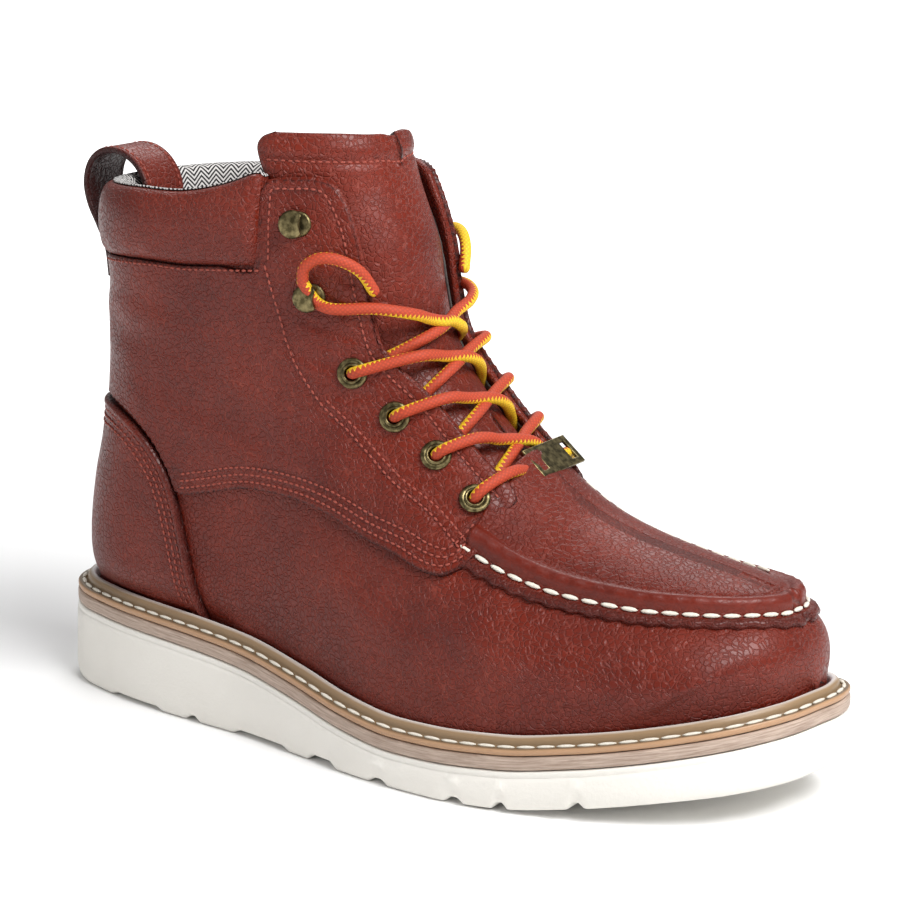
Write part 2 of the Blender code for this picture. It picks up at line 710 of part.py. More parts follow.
def cuff_section(side, share):
    seam_x, seam_z = along(smooth_path(CUFF_SEAM), share)
    top_x, top_z = along(smooth_path(CUFF_TOP), share)
    section = []
    for height, lift, extra in CUFF_PROFILE:
        x = seam_x + height * (top_x - seam_x)
        z = seam_z + height * (top_z - seam_z)
        if share == 0:
            x = back_x(z) + 0.02
        section.append(skin(side, x, z, lift) + np.array([0, 0, extra]))
    return section


shares = [(i / CUFF_STEPS) ** HEEL_CROWDING for i in range(CUFF_STEPS + 1)]
cuff = [cuff_section(-1, share) for share in reversed(shares)]
cuff += [cuff_section(1, share) for share in shares[1:]]
loft("collar", cuff, LEATHER_RED)

# Tongue: padded, wrapped round the instep; height on the front line, then the widths
# measured round it on the lateral and medial side, then padding
TONGUE_LINES = [
    (91.0, 19, 19, 3.0), (98, 22, 22, 3.6), (108, 28, 28, 4.2), (120, 34, 34, 4.6),
    (134, 40, 40, 5.0), (148, 43, 43, 5.0), (160, 46, 45, 5.0), (172, 49, 45, 5.0),
    (183, 51, 43, 5.0), (192, 52, 40, 5.0), (200, 55, 37, 5.0), (206, 55, 33, 4.6),
    (209.5, 52, 28, 3.8), (211.3, 46, 22, 2.6),
]
TONGUE_UNDER = -(LEATHER + 1.9)
TONGUE_ACROSS = (-1.0, -0.88, -0.62, -0.3, 0.0, 0.3, 0.62, 0.88, 1.0)


def round_ridge(z, run, lift):
    """Point on the skin found by following its section round from the front line."""
    side = -1 if run < 0 else 1
    x = ridge_at(z)
    level = smooth_step((z - 130) / 45)  # the sections turn level above the instep
    inward = np.array([-2.0, (ridge_at(z + 1) - ridge_at(z - 1)) * (1 - level)])
    inward /= np.linalg.norm(inward)
    depths = np.linspace(0.02, 60, 70)
    widths = np.array([
        half_width(side, x + d * inward[0], z + d * inward[1]) for d in depths
    ])
    runs = np.concatenate([[0], np.cumsum(np.hypot(np.diff(depths), np.diff(widths)))])
    d = float(np.interp(abs(run) - widths[0], runs, depths))
    return skin(side, x + d * inward[0], z + d * inward[1], lift)


outer, inner = [], []
for z, lateral, medial, pad in TONGUE_LINES:
    top, bottom = [], []
    for share in TONGUE_ACROSS:
        thick = pad if abs(share) < 0.9 else 0.5 * pad
        round_by = share * (lateral if share < 0 else medial)
        under = TONGUE_UNDER - 0.08 * max(0.0, 102 - z)  # lies deeper below the vamp
        top.append(round_ridge(z, round_by, under))
        bottom.append(round_ridge(z, round_by, under - thick))
    outer.append(top)
    inner.append(bottom)
slab("tongue", outer, inner, LEATHER_RED)

# Pull loop: strap from the back of the shaft over the cuff and down inside it; x, z
LOOP_LINE = [
    (17.8, 150.0), (16.4, 160.0), (12.6, 168.0), (8.4, 176.0), (7.0, 183.5), (9.2, 190.6),
    (14.6, 194.9), (22.4, 195.4), (29.6, 191.8), (34.2, 185.0), (35.2, 176.0), (35.2, 168.0),
]
LOOP_HALF = 10.5
LOOP_THICK = 2.2
loop_path = along(smooth_path(LOOP_LINE), np.linspace(0, 1, 16))
outer, inner = [], []
for i, here in enumerate(loop_path):
    ahead = loop_path[min(i + 1, len(loop_path) - 1)] - loop_path[max(i - 1, 0)]
    out = np.array([-ahead[1], ahead[0]]) / np.linalg.norm(ahead)
    for grid, sign in ((outer, 0.5), (inner, -0.5)):
        x, z = here + sign * LOOP_THICK * out
        grid.append([(x, y, z) for y in (-LOOP_HALF, 0, LOOP_HALF)])
slab("pull_loop", outer, inner, LEATHER_RED)

# Eyelets: rolled brass rings; x, z of each, going down the facing
EYELETS = [(139.3, 132.2), (154.6, 118.2), (170.2, 106.2), (186.2, 93.4)]
EYELET_RADIUS = 5.4
EYELET_HOLE = 3.0
EYELET_HEIGHT = 1.3
EYELET_SIDES = 10
FITTING_LIFT = PANEL_TOP + GAP


def skin_frame(side, x, z, lift):
    """Centre and two directions along the skin: forward and up."""
    here = skin(side, x, z, lift)
    out = skin(side, x, z, lift + 1) - here
    ahead = skin(side, x + 1, z, lift) - skin(side, x - 1, z, lift)
    ahead -= out * (ahead @ out)
    ahead /= np.linalg.norm(ahead)
    up = np.cross(out, ahead) * side * -1
    return here, ahead, up, out


# Radius and height of the section of an eyelet, turned round its axis
EYELET_RING = (
    (EYELET_RADIUS, 0.3), (EYELET_RADIUS - 1.2, EYELET_HEIGHT),
    (EYELET_HOLE, EYELET_HEIGHT * 0.8), (EYELET_HOLE, 0.1),
)


def eyelet(name, side, x, z):
    here, ahead, up, out = skin_frame(side, x, z, FITTING_LIFT)
    mesh = bpy.data.meshes.new(name)
    corners = len(EYELET_RING)
    mesh.from_pydata(
        [(r * MM, 0, h * MM) for r, h in EYELET_RING],
        [(k, (k + 1) % corners) for k in range(corners)],
        [],
    )
    mesh.materials.append(BRASS)
    made = bpy.data.objects.new(name, mesh)
    COLLECTION.objects.link(made)
    place = Matrix.Identity(4)
    for column, axis in enumerate((ahead, np.cross(out, ahead), out)):
        for row in range(3):
            place[row][column] = axis[row]
    for row, value in enumerate(shifted(here)):
        place[row][3] = value
    made.matrix_world = place
    turn = made.modifiers.new("turn", "SCREW")
    turn.steps = turn.render_steps = EYELET_SIDES
    turn.use_merge_vertices = True
    turn.merge_threshold = 0.0001
    turn.use_normal_calculate = True
    return made


for number, (x, z) in enumerate(EYELETS, 1):
    eyelet(f"eyelet_lateral_{number}", -1, x, z)
    eyelet(f"eyelet_medial_{number}", 1, x, z)

# Speed hooks: riveted plate bent up and over towards the back; x, z, going down
HOOKS = [(119.0, 181.6), (124.6, 157.8)]
# Distance forward of the rivet, height, half width
HOOK_LINE = [
    (-4.6, 0.0, 2.4), (-3.2, 0.0, 4.2), (0.0, 0.0, 4.8), (3.0, 0.0, 4.2), (4.4, 0.6, 3.6),
    (5.0, 2.6, 3.6), (4.6, 4.8, 3.6), (2.6, 5.8, 3.6), (0.4, 5.6, 3.2),
]
HOOK_THICK = 0.9
for number, (x, z) in enumerate(HOOKS, 1):
    for label, side in (("lateral", -1), ("medial", 1)):
        here, ahead, up, out = skin_frame(side, x, z, FITTING_LIFT + HOOK_THICK / 2)
        line = np.array([row[:2] for row in HOOK_LINE])
        outer, inner = [], []
        for i, (forward, height, half) in enumerate(HOOK_LINE):
            run = line[min(i + 1, len(line) - 1)] - line[max(i - 1, 0)]
            across = np.array([-run[1], run[0]]) / np.linalg.norm(run) * HOOK_THICK / 2
            for grid, sign in ((outer, 1), (inner, -1)):
                f, h = line[i] + sign * across
                grid.append([here + f * ahead + h * out + w * up for w in (-half, half)])
        slab(f"hook_{label}_{number}", outer, inner, BRASS)

# Lace: bars run from each eyelet to the next one down on the other side
LACE_RADIUS = 2.0
LACE_SIDES = 6
EYE_HALF = 31.0
BAR_REST = 1.0  # lift of the lace over the tongue at the middle
BAR_EDGE = PANEL_TOP + LACE_RADIUS + 2.5  # and over the facing edge
eye_heights = []
for x, z in [HOOKS[1]] + EYELETS:
    foot = skin(-1, x, z)
    runs = [np.linalg.norm(over_ridge(h, -abs(foot[1]), 0) - foot)
            for h in np.linspace(84, 185, 203)]
    eye_heights.append((float(np.linspace(84, 185, 203)[int(np.argmin(runs))]), abs(foot[1])))


def bar_point(start, end, t):
    """Point of a bar from the lateral side at start to the medial side at end."""
    (z1, w1), (z2, w2) = start, end
    across = -w1 + t * (w1 + w2)
    z = z1 + t * (z2 - z1)
    edge = smooth_step((abs(across) - 9) / 11)
    return over_ridge(z, across, BAR_REST + edge * (BAR_EDGE - BAR_REST))


CUTTERS = bpy.data.collections.new("joined_bars")
bpy.context.scene.collection.children.link(CUTTERS)


def cord(name, route, radius):
    """Round cord on a curve through the points, with closed ends."""
    curve = bpy.data.curves.new(name, "CURVE")
    curve.dimensions = "3D"
    curve.bevel_depth = radius * MM
    curve.bevel_resolution = 2
    curve.use_fill_caps = True
    spline = curve.splines.new("POLY")
    spline.points.add(len(route) - 1)
    for point, place in zip(spline.points, route):
        point.co = (*shifted(place), 1)
    curve.materials.append(LACE)
    made = bpy.data.objects.new(name, curve)
    COLLECTION.objects.link(made)
    return made


def to_mesh(made):
    """The same shape as a mesh object, its end caps sewn to its sides."""
    graph = bpy.context.evaluated_depsgraph_get()
    mesh = bpy.data.meshes.new_from_object(made.evaluated_get(graph))
    work = bmesh.new()
    work.from_mesh(mesh)
    bmesh.ops.remove_doubles(work, verts=work.verts, dist=0.001 * MM)
    bmesh.ops.recalc_face_normals(work, faces=work.faces)
    work.to_mesh(mesh)
    work.free()
    solid = bpy.data.objects.new(made.name + "_solid", mesh)
    solid.matrix_world = made.matrix_world
    bpy.data.objects.remove(made)
    return solid


BAR_POINTS = 7
NEAR_EYELET, NEAR_HOOK = 0.02, 0.11  # where a bar stops short of its fitting
BARS = [(4, 4), (3, 4), (4, 3), (2, 3), (3, 2), (1, 2), (2, 1), (0, 1), (1, 0)]
bars = []
for number, (a, b) in enumerate(BARS):
    first = NEAR_EYELET if a else NEAR_HOOK
    last = 1 - (NEAR_EYELET if b else NEAR_HOOK)
    route = [bar_point(eye_heights[a], eye_heights[b], t)
             for t in np.linspace(first, last, BAR_POINTS)]
    bars.append(to_mesh(cord(f"bar_{number}", route, LACE_RADIUS + 0.01 * number)))
laces = bars[0]
laces.name = "lace_crossings"
COLLECTION.objects.link(laces)
for number, bar in enumerate(bars[1:]):
    CUTTERS.objects.link(bar)
    bar.hide_render = True
    bar.display_type = "WIRE"
    join = laces.modifiers.new(f"join_{number}", "BOOLEAN")
    join.operation = "UNION"
    join.solver = "EXACT"
    join.object = bar

# Free ends: curl up from the second hook and tuck in behind the edge of the flap
END_ROUTE = [
    (126.0, 40.6, 163.5), (127.5, 41.6, 168.5), (132.5, 40.4, 172.0), (138.5, 37.0, 171.5),
    (143.5, 32.0, 167.5), (146.0, 27.5, 160.5),
]
END_POINTS = 7
end_path = along(smooth_path(END_ROUTE), np.linspace(0, 1, END_POINTS))
for name, side in (("lace_end_lateral", -1), ("lace_end_medial", 1)):
    cord(name, [(x, middle_y(x) + side * y, z) for x, y, z in end_path], LACE_RADIUS)

# Lace plate: plain tag lying on the lowest bar
PLATE_LONG, PLATE_WIDE, PLATE_THICK = 26.0, 12.0, 1.2
PLATE_AT = 0.62
here = bar_point(eye_heights[4], eye_heights[4], PLATE_AT)
run = (bar_point(eye_heights[4], eye_heights[4], PLATE_AT + 0.2)
       - bar_point(eye_heights[4], eye_heights[4], PLATE_AT - 0.2))
run /= np.linalg.norm(run)
slope = over_ridge(eye_heights[4][0] + 4, 8, 0) - over_ridge(eye_heights[4][0] - 4, 8, 0)
slope -= run * (slope @ run)
slope /= np.linalg.norm(slope)
out = np.cross(run, slope)
out *= math.copysign(1, out[2])
low = LACE_RADIUS + 0.6
grids = []
for height in (low + PLATE_THICK, low):
    grids.append([
        [here + a * run + b * slope + height * out for a in (-PLATE_LONG / 2, PLATE_LONG / 2)]
        for b in (-PLATE_WIDE / 2, PLATE_WIDE / 2)
    ])
slab("lace_plate", grids[0], grids[1], BRASS)
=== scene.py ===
"""The looks of a right-foot wedge sole work boot, laced and standing empty.

The pieces are dressed from the floor up, in the order in which the boot is made.
Tables are millimetres: x from the back of the heel to the toe, y across the foot with the
inner side positive, z up from the floor. placed() turns them to the frame's metres.
"""

import math

import bmesh
import bpy
import numpy as np
from mathutils import Matrix, Vector


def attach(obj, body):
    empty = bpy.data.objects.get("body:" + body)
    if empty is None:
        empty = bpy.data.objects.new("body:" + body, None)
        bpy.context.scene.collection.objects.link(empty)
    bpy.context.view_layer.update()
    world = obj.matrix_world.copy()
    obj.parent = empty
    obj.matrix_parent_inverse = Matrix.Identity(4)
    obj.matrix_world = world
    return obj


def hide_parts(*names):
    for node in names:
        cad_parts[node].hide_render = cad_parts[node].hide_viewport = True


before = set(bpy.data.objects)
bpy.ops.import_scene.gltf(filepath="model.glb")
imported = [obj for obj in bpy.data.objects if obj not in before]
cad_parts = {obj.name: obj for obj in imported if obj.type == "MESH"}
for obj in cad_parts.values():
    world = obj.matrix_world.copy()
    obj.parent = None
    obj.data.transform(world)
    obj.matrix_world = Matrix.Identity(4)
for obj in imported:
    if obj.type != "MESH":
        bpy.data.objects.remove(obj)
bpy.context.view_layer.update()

SCENE = bpy.context.scene.collection
MM = 0.001

# View: a studio table seen from the front of the outer side, with a long lens, a little
# above the boot. The floor is a plain white sweep, lit by large soft boxes.
CAMERA_PLACE = (0.5716, -0.8555, 0.3455)
CAMERA_AXES = ((0.8344, 0.5512, 0.0086), (-0.1337, 0.1872, 0.9732), (0.5348, -0.8131, 0.2299))
camera_data = bpy.data.cameras.new("camera")
camera_data.lens = 123.12
camera_data.sensor_width = 36.0
camera = bpy.data.objects.new("camera", camera_data)
SCENE.objects.link(camera)
back = Vector(CAMERA_AXES[2]).normalized()
right = Vector(CAMERA_AXES[0])
right = (right - back * right.dot(back)).normalized()
turn = Matrix((right, back.cross(right), back)).transposed().to_4x4()
camera.matrix_world = Matrix.Translation(CAMERA_PLACE) @ turn
bpy.context.scene.camera = camera


def linear(hexcode):
    """sRGB hex as linear red, green, blue and alpha."""
    parts = [int(hexcode[i:i + 2], 16) / 255 for i in (1, 3, 5)]
    return [c / 12.92 if c <= 0.04045 else ((c + 0.055) / 1.055) ** 2.4 for c in parts] + [1.0]


def add(tree, kind, settings=None, **inputs):
    """Node of this kind; inputs are values, or sockets to link, by socket name or number."""
    node = tree.nodes.new(kind)
    for key, value in (settings or {}).items():
        setattr(node, key, value)
    for key, value in inputs.items():
        key = key.replace("_", " ")
        socket = node.inputs[int(key[3:])] if key.startswith("in ") else node.inputs[key]
        if isinstance(value, bpy.types.NodeSocket):
            tree.links.new(value, socket)
        else:
            socket.default_value = value
    return node


def softbox(name, place, aim, size, watts):
    light = bpy.data.lights.new(name, "AREA")
    light.shape = "RECTANGLE"
    light.size, light.size_y = size
    light.energy = watts
    box = bpy.data.objects.new(name, light)
    SCENE.objects.link(box)
    turned = (Vector(aim) - Vector(place)).to_track_quat("-Z", "Y").to_matrix().to_4x4()
    box.matrix_world = Matrix.Translation(place) @ turned


softbox("key", (1.15, -0.3, 1.45), (0, 0, 0.08), (1.1, 0.9), 42)
softbox("fill", (-0.9, -1.3, 0.8), (0, 0, 0.08), (1.2, 1.0), 2.5)
softbox("rim", (-0.6, 1.1, 1.2), (0, 0, 0.1), (1.2, 0.8), 10)
world = bpy.data.worlds.new("studio")
world.use_nodes = True
world.node_tree.nodes["Background"].inputs["Color"].default_value = linear("#ffffff")
world.node_tree.nodes["Background"].inputs["Strength"].default_value = 0.3
bpy.context.scene.world = world
bpy.context.scene.view_settings.view_transform = "Standard"  # keeps the white paper white

floor_mesh = bpy.data.meshes.new("floor")
REACH = 6.0
floor_mesh.from_pydata(
    [(-REACH, -REACH, 0), (REACH, -REACH, 0), (REACH, REACH, 0), (-REACH, REACH, 0)],
    [], [(0, 1, 2, 3)])
floor = bpy.data.objects.new("floor", floor_mesh)
SCENE.objects.link(floor)
paper = bpy.data.materials.new("white_paper")
paper.use_nodes = True
paper_shader = paper.node_tree.nodes["Principled BSDF"]
paper_shader.inputs["Base Color"].default_value = linear("#fbfbfb")
paper_shader.inputs["Roughness"].default_value = 0.8
# Painted light: farther out the paper glows with its own emission, so that it stays white up to the
# horizon
far_out = add(paper.node_tree, "ShaderNodeVectorMath", {"operation": "LENGTH"},
              in_0=add(paper.node_tree, "ShaderNodeTexCoord").outputs["Object"])
glow = add(paper.node_tree, "ShaderNodeMapRange", Value=far_out.outputs["Value"],
           From_Min=0.35, From_Max=1.3, To_Min=0.0, To_Max=0.9).outputs[0]
paper_shader.inputs["Emission Color"].default_value = linear("#ffffff")
paper.node_tree.links.new(glow, paper_shader.inputs["Emission Strength"])
floor_mesh.materials.append(paper)

# Outsole: one wedge of white foamed rubber from heel to toe, moulded in one with its
# tread. It is glued under the midsole, and its foamed skin is matt and slightly pitted.
SOLE_EDGE = [
    (0, 0), (3.5, -14.5), (13.6, -24.7), (27.3, -30.6), (45.2, -35.7), (71.9, -40.1),
    (99.7, -43.4), (129.3, -49.7), (159.2, -56.6), (189.7, -59.7), (212.0, -58.5),
    (233.7, -54.1), (253.4, -48.1), (272.2, -39.7), (287.9, -28.7), (299.1, -12.7),
    (303.1, 3.1), (304.5, 14.0), (301.0, 27.0), (291.0, 38.0), (275.0, 46.0),
    (250.0, 51.0), (220.0, 52.5), (190.0, 51.0), (150.0, 45.0), (110.0, 39.5),
    (70.0, 36.8), (44.0, 34.8), (26.0, 30.8), (12.5, 23.5), (3.2, 13.0),
]
SOLE_THICK = [
    (0, 28.9), (70, 26.8), (100, 24.3), (125, 20.1), (150, 15.1), (175, 12.4),
    (215, 13.3), (260, 13.8), (305, 16.2),
]
TOE_SPRING = [(0, 0), (150, 0), (190, 0), (215, 0.8), (240, 4.0), (270, 9.1), (305, 14.6)]
TREAD_GROOVES = [
    (32.5, 61.0, 1.2), (72.5, 80.3, 1.8), (95.7, 124.4, 1.5), (133.6, 148.8, 2.2),
    (163.6, 172.8, 1.8), (195.8, 203.7, 2.0), (213.7, 219.5, 2.2), (239.2, 245.0, 2.2),
]


def cubic(t, first, last, leaving, arriving):
    """Hermite curve between two values, with its slopes at both ends."""
    return (
        (2 * t**3 - 3 * t**2 + 1) * first + (t**3 - 2 * t**2 + t) * leaving
        + (3 * t**2 - 2 * t**3) * last + (t**3 - t**2) * arriving
    )


def lookup(table, at, column=1):
    """One column of a table at places along its first column, smooth with no overshoot."""
    xs = np.array([row[0] for row in table], float)
    ys = np.array([row[column] for row in table], float)
    steps = np.diff(ys) / np.diff(xs)
    slopes = np.zeros(len(xs))
    for i in range(1, len(xs) - 1):
        if steps[i - 1] * steps[i] > 0:
            slopes[i] = 2 * steps[i - 1] * steps[i] / (steps[i - 1] + steps[i])
    slopes[0], slopes[-1] = steps[0], steps[-1]
    at = np.clip(np.asarray(at, float), xs[0], xs[-1])
    i = np.clip(np.searchsorted(xs, at) - 1, 0, len(xs) - 2)
    width = xs[i + 1] - xs[i]
    return cubic((at - xs[i]) / width, ys[i], ys[i + 1], width * slopes[i], width * slopes[i + 1])


def run_of(path):
    """Length along a polyline up to each of its points."""
    return np.concatenate([[0], np.cumsum(np.linalg.norm(np.diff(path, axis=0), axis=1))])


def smooth_path(points, closed=False, per_span=16):
    """A dense polyline through the points."""
    p = np.array(points, float)
    if closed:
        p = np.vstack([p[-1:], p, p[:2]])
    else:
        p = np.vstack([2 * p[:1] - p[1:2], p, 2 * p[-1:] - p[-2:-1]])
    knots = run_of(p)
    out = []
    for i in range(1, len(p) - 2):
        a, b = knots[i], knots[i + 1]
        before = (p[i + 1] - p[i - 1]) / (b - knots[i - 1])
        after = (p[i + 2] - p[i]) / (knots[i + 2] - a)
        t = np.linspace(0, 1, per_span, endpoint=False)[:, None]
        out.append(cubic(t, p[i], p[i + 1], (b - a) * before, (b - a) * after))
    out.append(p[-2:-1])
    return np.vstack(out)


def along(path, fractions):
    """Points at these fractions of the length of a polyline."""
    run = run_of(path)
    at = np.asarray(fractions, float) * run[-1]
    return np.stack([np.interp(at, run, path[:, k]) for k in range(path.shape[1])], -1)


def ease(t):
    t = np.clip(t, 0, 1)
    return t * t * (3 - 2 * t)


EDGE_PATH = smooth_path(SOLE_EDGE, closed=True)
EDGE_CENTRE = (EDGE_PATH.max(axis=0) + EDGE_PATH.min(axis=0)) / 2
EDGE_RUN = run_of(EDGE_PATH)
front = EDGE_PATH[:, 0] > 290
TIP = np.interp(9.2, EDGE_PATH[front, 1], EDGE_RUN[front]) / EDGE_RUN[-1]


def sole_edge(fraction, inset, side):
    """Points of the sole edge moved inward; fraction 0 is the heel, 1 the toe tip."""
    fraction = np.asarray(fraction, float)
    t = fraction * TIP if side < 0 else 1 - fraction * (1 - TIP)
    a, b = along(EDGE_PATH, (t - 0.002) % 1), along(EDGE_PATH, (t + 0.002) % 1)
    tangent = (b - a) / np.linalg.norm(b - a, axis=-1, keepdims=True)
    inward = np.stack([-tangent[..., 1], tangent[..., 0]], -1)
    return along(EDGE_PATH, t % 1) + np.asarray(inset, float)[..., None] * inward


def sole_top(x):
    return lookup(TOE_SPRING, x) + lookup(SOLE_THICK, x)


def placed(points):
    """Table millimetres to the frame's metres."""
    return (np.asarray(points, float) - np.array([*EDGE_CENTRE, 0.0])) * MM


SAME_POINT = 0.004 * MM


def piece(name, points, quads, look, uv=None, marks=None):
    """Mesh object from table millimetres, with a UV map in millimetres and named
    numbers by vertex."""
    mesh = bpy.data.meshes.new(name)
    points = placed(points)
    quads = np.asarray(quads, np.int32)
    mesh.vertices.add(len(points))
    mesh.vertices.foreach_set("co", points.astype(np.float32).ravel())
    mesh.loops.add(quads.size)
    mesh.loops.foreach_set("vertex_index", quads.ravel())
    mesh.polygons.add(len(quads))
    mesh.polygons.foreach_set("loop_start", np.arange(len(quads), dtype=np.int32) * quads.shape[1])
    mesh.update(calc_edges=True)
    if uv is not None:
        layer = mesh.uv_layers.new(name="UVMap")
        layer.data.foreach_set("uv", np.asarray(uv, np.float32)[quads.ravel()].ravel())
    for key, values in (marks or {}).items():
        mesh.attributes.new(key, "FLOAT", "POINT").data.foreach_set(
            "value", np.asarray(values, np.float32).ravel())
    work = bmesh.new()
    work.from_mesh(mesh)
    bmesh.ops.remove_doubles(work, verts=work.verts, dist=SAME_POINT)
    bmesh.ops.dissolve_degenerate(work, edges=work.edges, dist=SAME_POINT)
    bmesh.ops.recalc_face_normals(work, faces=work.faces)
    work.to_mesh(mesh)
    work.free()
    mesh.shade_smooth()
    mesh.materials.append(look)
    made = bpy.data.objects.new(name, mesh)
    SCENE.objects.link(made)
    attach(made, "root")
    return made


def grid_quads(rows, cols, wrap_rows=False, wrap_cols=False, start=0):
    """Corners of the faces of a grid whose points are listed row by row."""
    i = np.arange(rows if wrap_rows else rows - 1)[:, None]
    j = np.arange(cols if wrap_cols else cols - 1)[None, :]
    k, m = (i + 1) % rows, (j + 1) % cols
    return start + np.stack(
        [i * cols + j, i * cols + m, k * cols + m, k * cols + j], -1).reshape(-1, 4)


def new_material(name):
    made = bpy.data.materials.new(name)
    made.use_nodes = True
    tree = made.node_tree
    return made, tree, tree.nodes["Principled BSDF"]


def in_mm(tree):
    """Object coordinates in millimetres, so that a pattern's scale is one over its pitch."""
    return add(tree, "ShaderNodeVectorMath", {"operation": "SCALE"}, Scale=1000.0,
               Vector=add(tree, "ShaderNodeTexCoord").outputs["Object"]).outputs[0]


STATIONS = 420
spread = np.linspace(0, 1, STATIONS)
spread = 0.6 * spread + 0.4 * (1 - np.cos(math.pi * spread)) / 2


def ring_of_sole(rows, height_at, fractions=spread):
    """Closed band round the sole: lateral side heel to toe, then medial side back."""
    sides = []
    for side in (-1, 1):
        line = [sole_edge(fractions, np.full(len(fractions), inset), side) for inset, _ in rows]
        sides.append(np.stack([
            np.column_stack([p, height_at(p[:, 0], level)])
            for p, (_, level) in zip(line, rows)], 1))
    return np.concatenate([sides[0], sides[1][::-1][1:-1]])


def band_uv(points):
    """Run round the ring and up the profile, in millimetres."""
    run = run_of(points[:, 0])
    up = run_of(points[len(points) // 4])
    return np.stack(np.broadcast_arrays(run[:, None], up[None, :]), -1).reshape(-1, 2)


def foam_rubber():
    """White foamed rubber, moulded: matt, with faint pits and a slightly grey bloom."""
    look, tree, shader = new_material("white_foam_rubber")
    place = in_mm(tree)
    cloud = add(tree, "ShaderNodeTexNoise", Vector=place, Scale=0.03, Detail=3.0)
    pits = add(tree, "ShaderNodeTexNoise", Vector=place, Scale=1.3, Detail=4.0, Roughness=0.6)
    cells = add(tree, "ShaderNodeTexVoronoi", Vector=place, Scale=0.55)
    tone = add(tree, "ShaderNodeMixRGB", Fac=cloud.outputs["Fac"],
               Color1=linear("#efece5"), Color2=linear("#e2ded6"))
    tree.links.new(tone.outputs[0], shader.inputs["Base Color"])
    relief = add(tree, "ShaderNodeMath", {"operation": "MULTIPLY_ADD"},
                 in_0=cells.outputs["Distance"], in_1=0.5, in_2=pits.outputs["Fac"])
    bump = add(tree, "ShaderNodeBump", Strength=0.35, Distance=0.0003, Height=relief.outputs[0])
    tree.links.new(bump.outputs[0], shader.inputs["Normal"])
    shader.inputs["Roughness"].default_value = 0.72
    shader.inputs["Specular IOR Level"].default_value = 0.3
    return look


groove_knots = [(-1.0, 0.0)]
GROOVE_SLOPE = 3.2
for first, last, depth in TREAD_GROOVES:
    slope = min(GROOVE_SLOPE, (last - first) / 3)
    groove_knots += [(first, 0.0), (first + slope, depth), (last - slope, depth), (last, 0.0)]
groove_knots.append((400.0, 0.0))
lateral_x = sole_edge(spread, np.zeros(STATIONS), -1)[:, 0]
groove_depth = np.interp(lateral_x, *np.array(groove_knots).T)
# Inset and height of the side wall: from the top edge, then from the tread
OUTSOLE_TOP = ((1.6, 0.0), (0.9, -0.1), (0.55, -0.45), (0.45, -0.9), (0.42, -1.9),
               (0.62, -2.2), (0.30, -2.5), (0.1, -4.0))
OUTSOLE_FOOT = ((-0.25, 7.5), (-0.25, 5.0), (-0.05, 3.4), (0.25, 1.9), (0.7, 0.9), (1.3, 0.3),
                (2.1, 0.0))
TREAD_ACROSS = 12
halves = []
for side in (-1, 1):
    rows = []
    for inset, level in OUTSOLE_TOP:
        p = sole_edge(spread, np.full(STATIONS, inset), side)
        rows.append(np.column_stack([p, sole_top(p[:, 0]) + level]))
    for inset, level in OUTSOLE_FOOT:
        p = sole_edge(spread, np.full(STATIONS, inset), side)
        tread = lookup(TOE_SPRING, p[:, 0]) + groove_depth
        rows.append(np.column_stack([p, tread + level]))
    halves.append(rows)
lateral_foot, medial_foot = halves[0][-1], halves[1][-1]
across = [lateral_foot + share * (medial_foot - lateral_foot)
          for share in np.linspace(0, 1, TREAD_ACROSS)[1:-1]]
outsole_grid = np.stack(halves[0] + across + halves[1][::-1], 1)
count = outsole_grid.shape[1]
quads = grid_quads(STATIONS, count, wrap_cols=True)
outsole = piece("wedge_outsole", outsole_grid.reshape(-1, 3), quads, foam_rubber())
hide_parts("outsole")

# Midsole: an even layer of firm rubber with a streaky, wood-like grain, glued between the
# wedge and the welt. Its edge is sanded flush with them.
GAP = 0.3
MIDSOLE_THICK = 4.7
MIDSOLE_ROWS = ((5.0, 0.35), (1.3, 0.35), (0.8, 0.5), (0.5, 0.95), (0.42, 1.6), (0.42, 3.4),
                (0.5, 4.2), (0.85, 4.8), (1.3, 5.0), (5.0, 5.0))


def streaked_rubber():
    """Sanded rubber layer: tan-grey with fine lengthwise streaks, matt."""
    look, tree, shader = new_material("streaked_midsole_rubber")
    uv = add(tree, "ShaderNodeUVMap", {"uv_map": "UVMap"}).outputs[0]
    grain = add(tree, "ShaderNodeTexNoise", Detail=5.0, Roughness=0.65, Scale=1.0,
                Vector=add(tree, "ShaderNodeMapping", Vector=uv, Scale=(0.09, 1.6, 1.0)).outputs[0])
    fine = add(tree, "ShaderNodeTexNoise", Detail=3.0, Scale=1.0,
               Vector=add(tree, "ShaderNodeMapping", Vector=uv, Scale=(0.7, 5.0, 1.0)).outputs[0])
    ramp = add(tree, "ShaderNodeValToRGB", Fac=grain.outputs["Fac"])
    dark, light = ramp.color_ramp.elements
    dark.position, dark.color = 0.32, linear("#8f7868")
    light.position, light.color = 0.68, linear("#c6b2a3")
    tree.links.new(ramp.outputs[0], shader.inputs["Base Color"])
    bump = add(tree, "ShaderNodeBump", Strength=0.3, Distance=0.0002, Height=fine.outputs["Fac"])
    tree.links.new(bump.outputs[0], shader.inputs["Normal"])
    shader.inputs["Roughness"].default_value = 0.62
    return look


ring = ring_of_sole(MIDSOLE_ROWS, lambda x, level: sole_top(x) + level)
quads = grid_quads(len(ring), len(MIDSOLE_ROWS), wrap_rows=True, wrap_cols=True)
midsole = piece("midsole_layer", ring.reshape(-1, 3), quads, streaked_rubber(), band_uv(ring))
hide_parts("midsole")

# Welt: a strip of smooth rubber round the whole sole, with a rounded storm rib moulded on
# it against the upper. It is sewn down with a thick cream lockstitch in a shallow groove.
# Where the upper comes down on the welt, and where the welt is sewn, in from its edge
FEATHER_INSET = 8.3
WELT_STITCH_INSET = 2.7
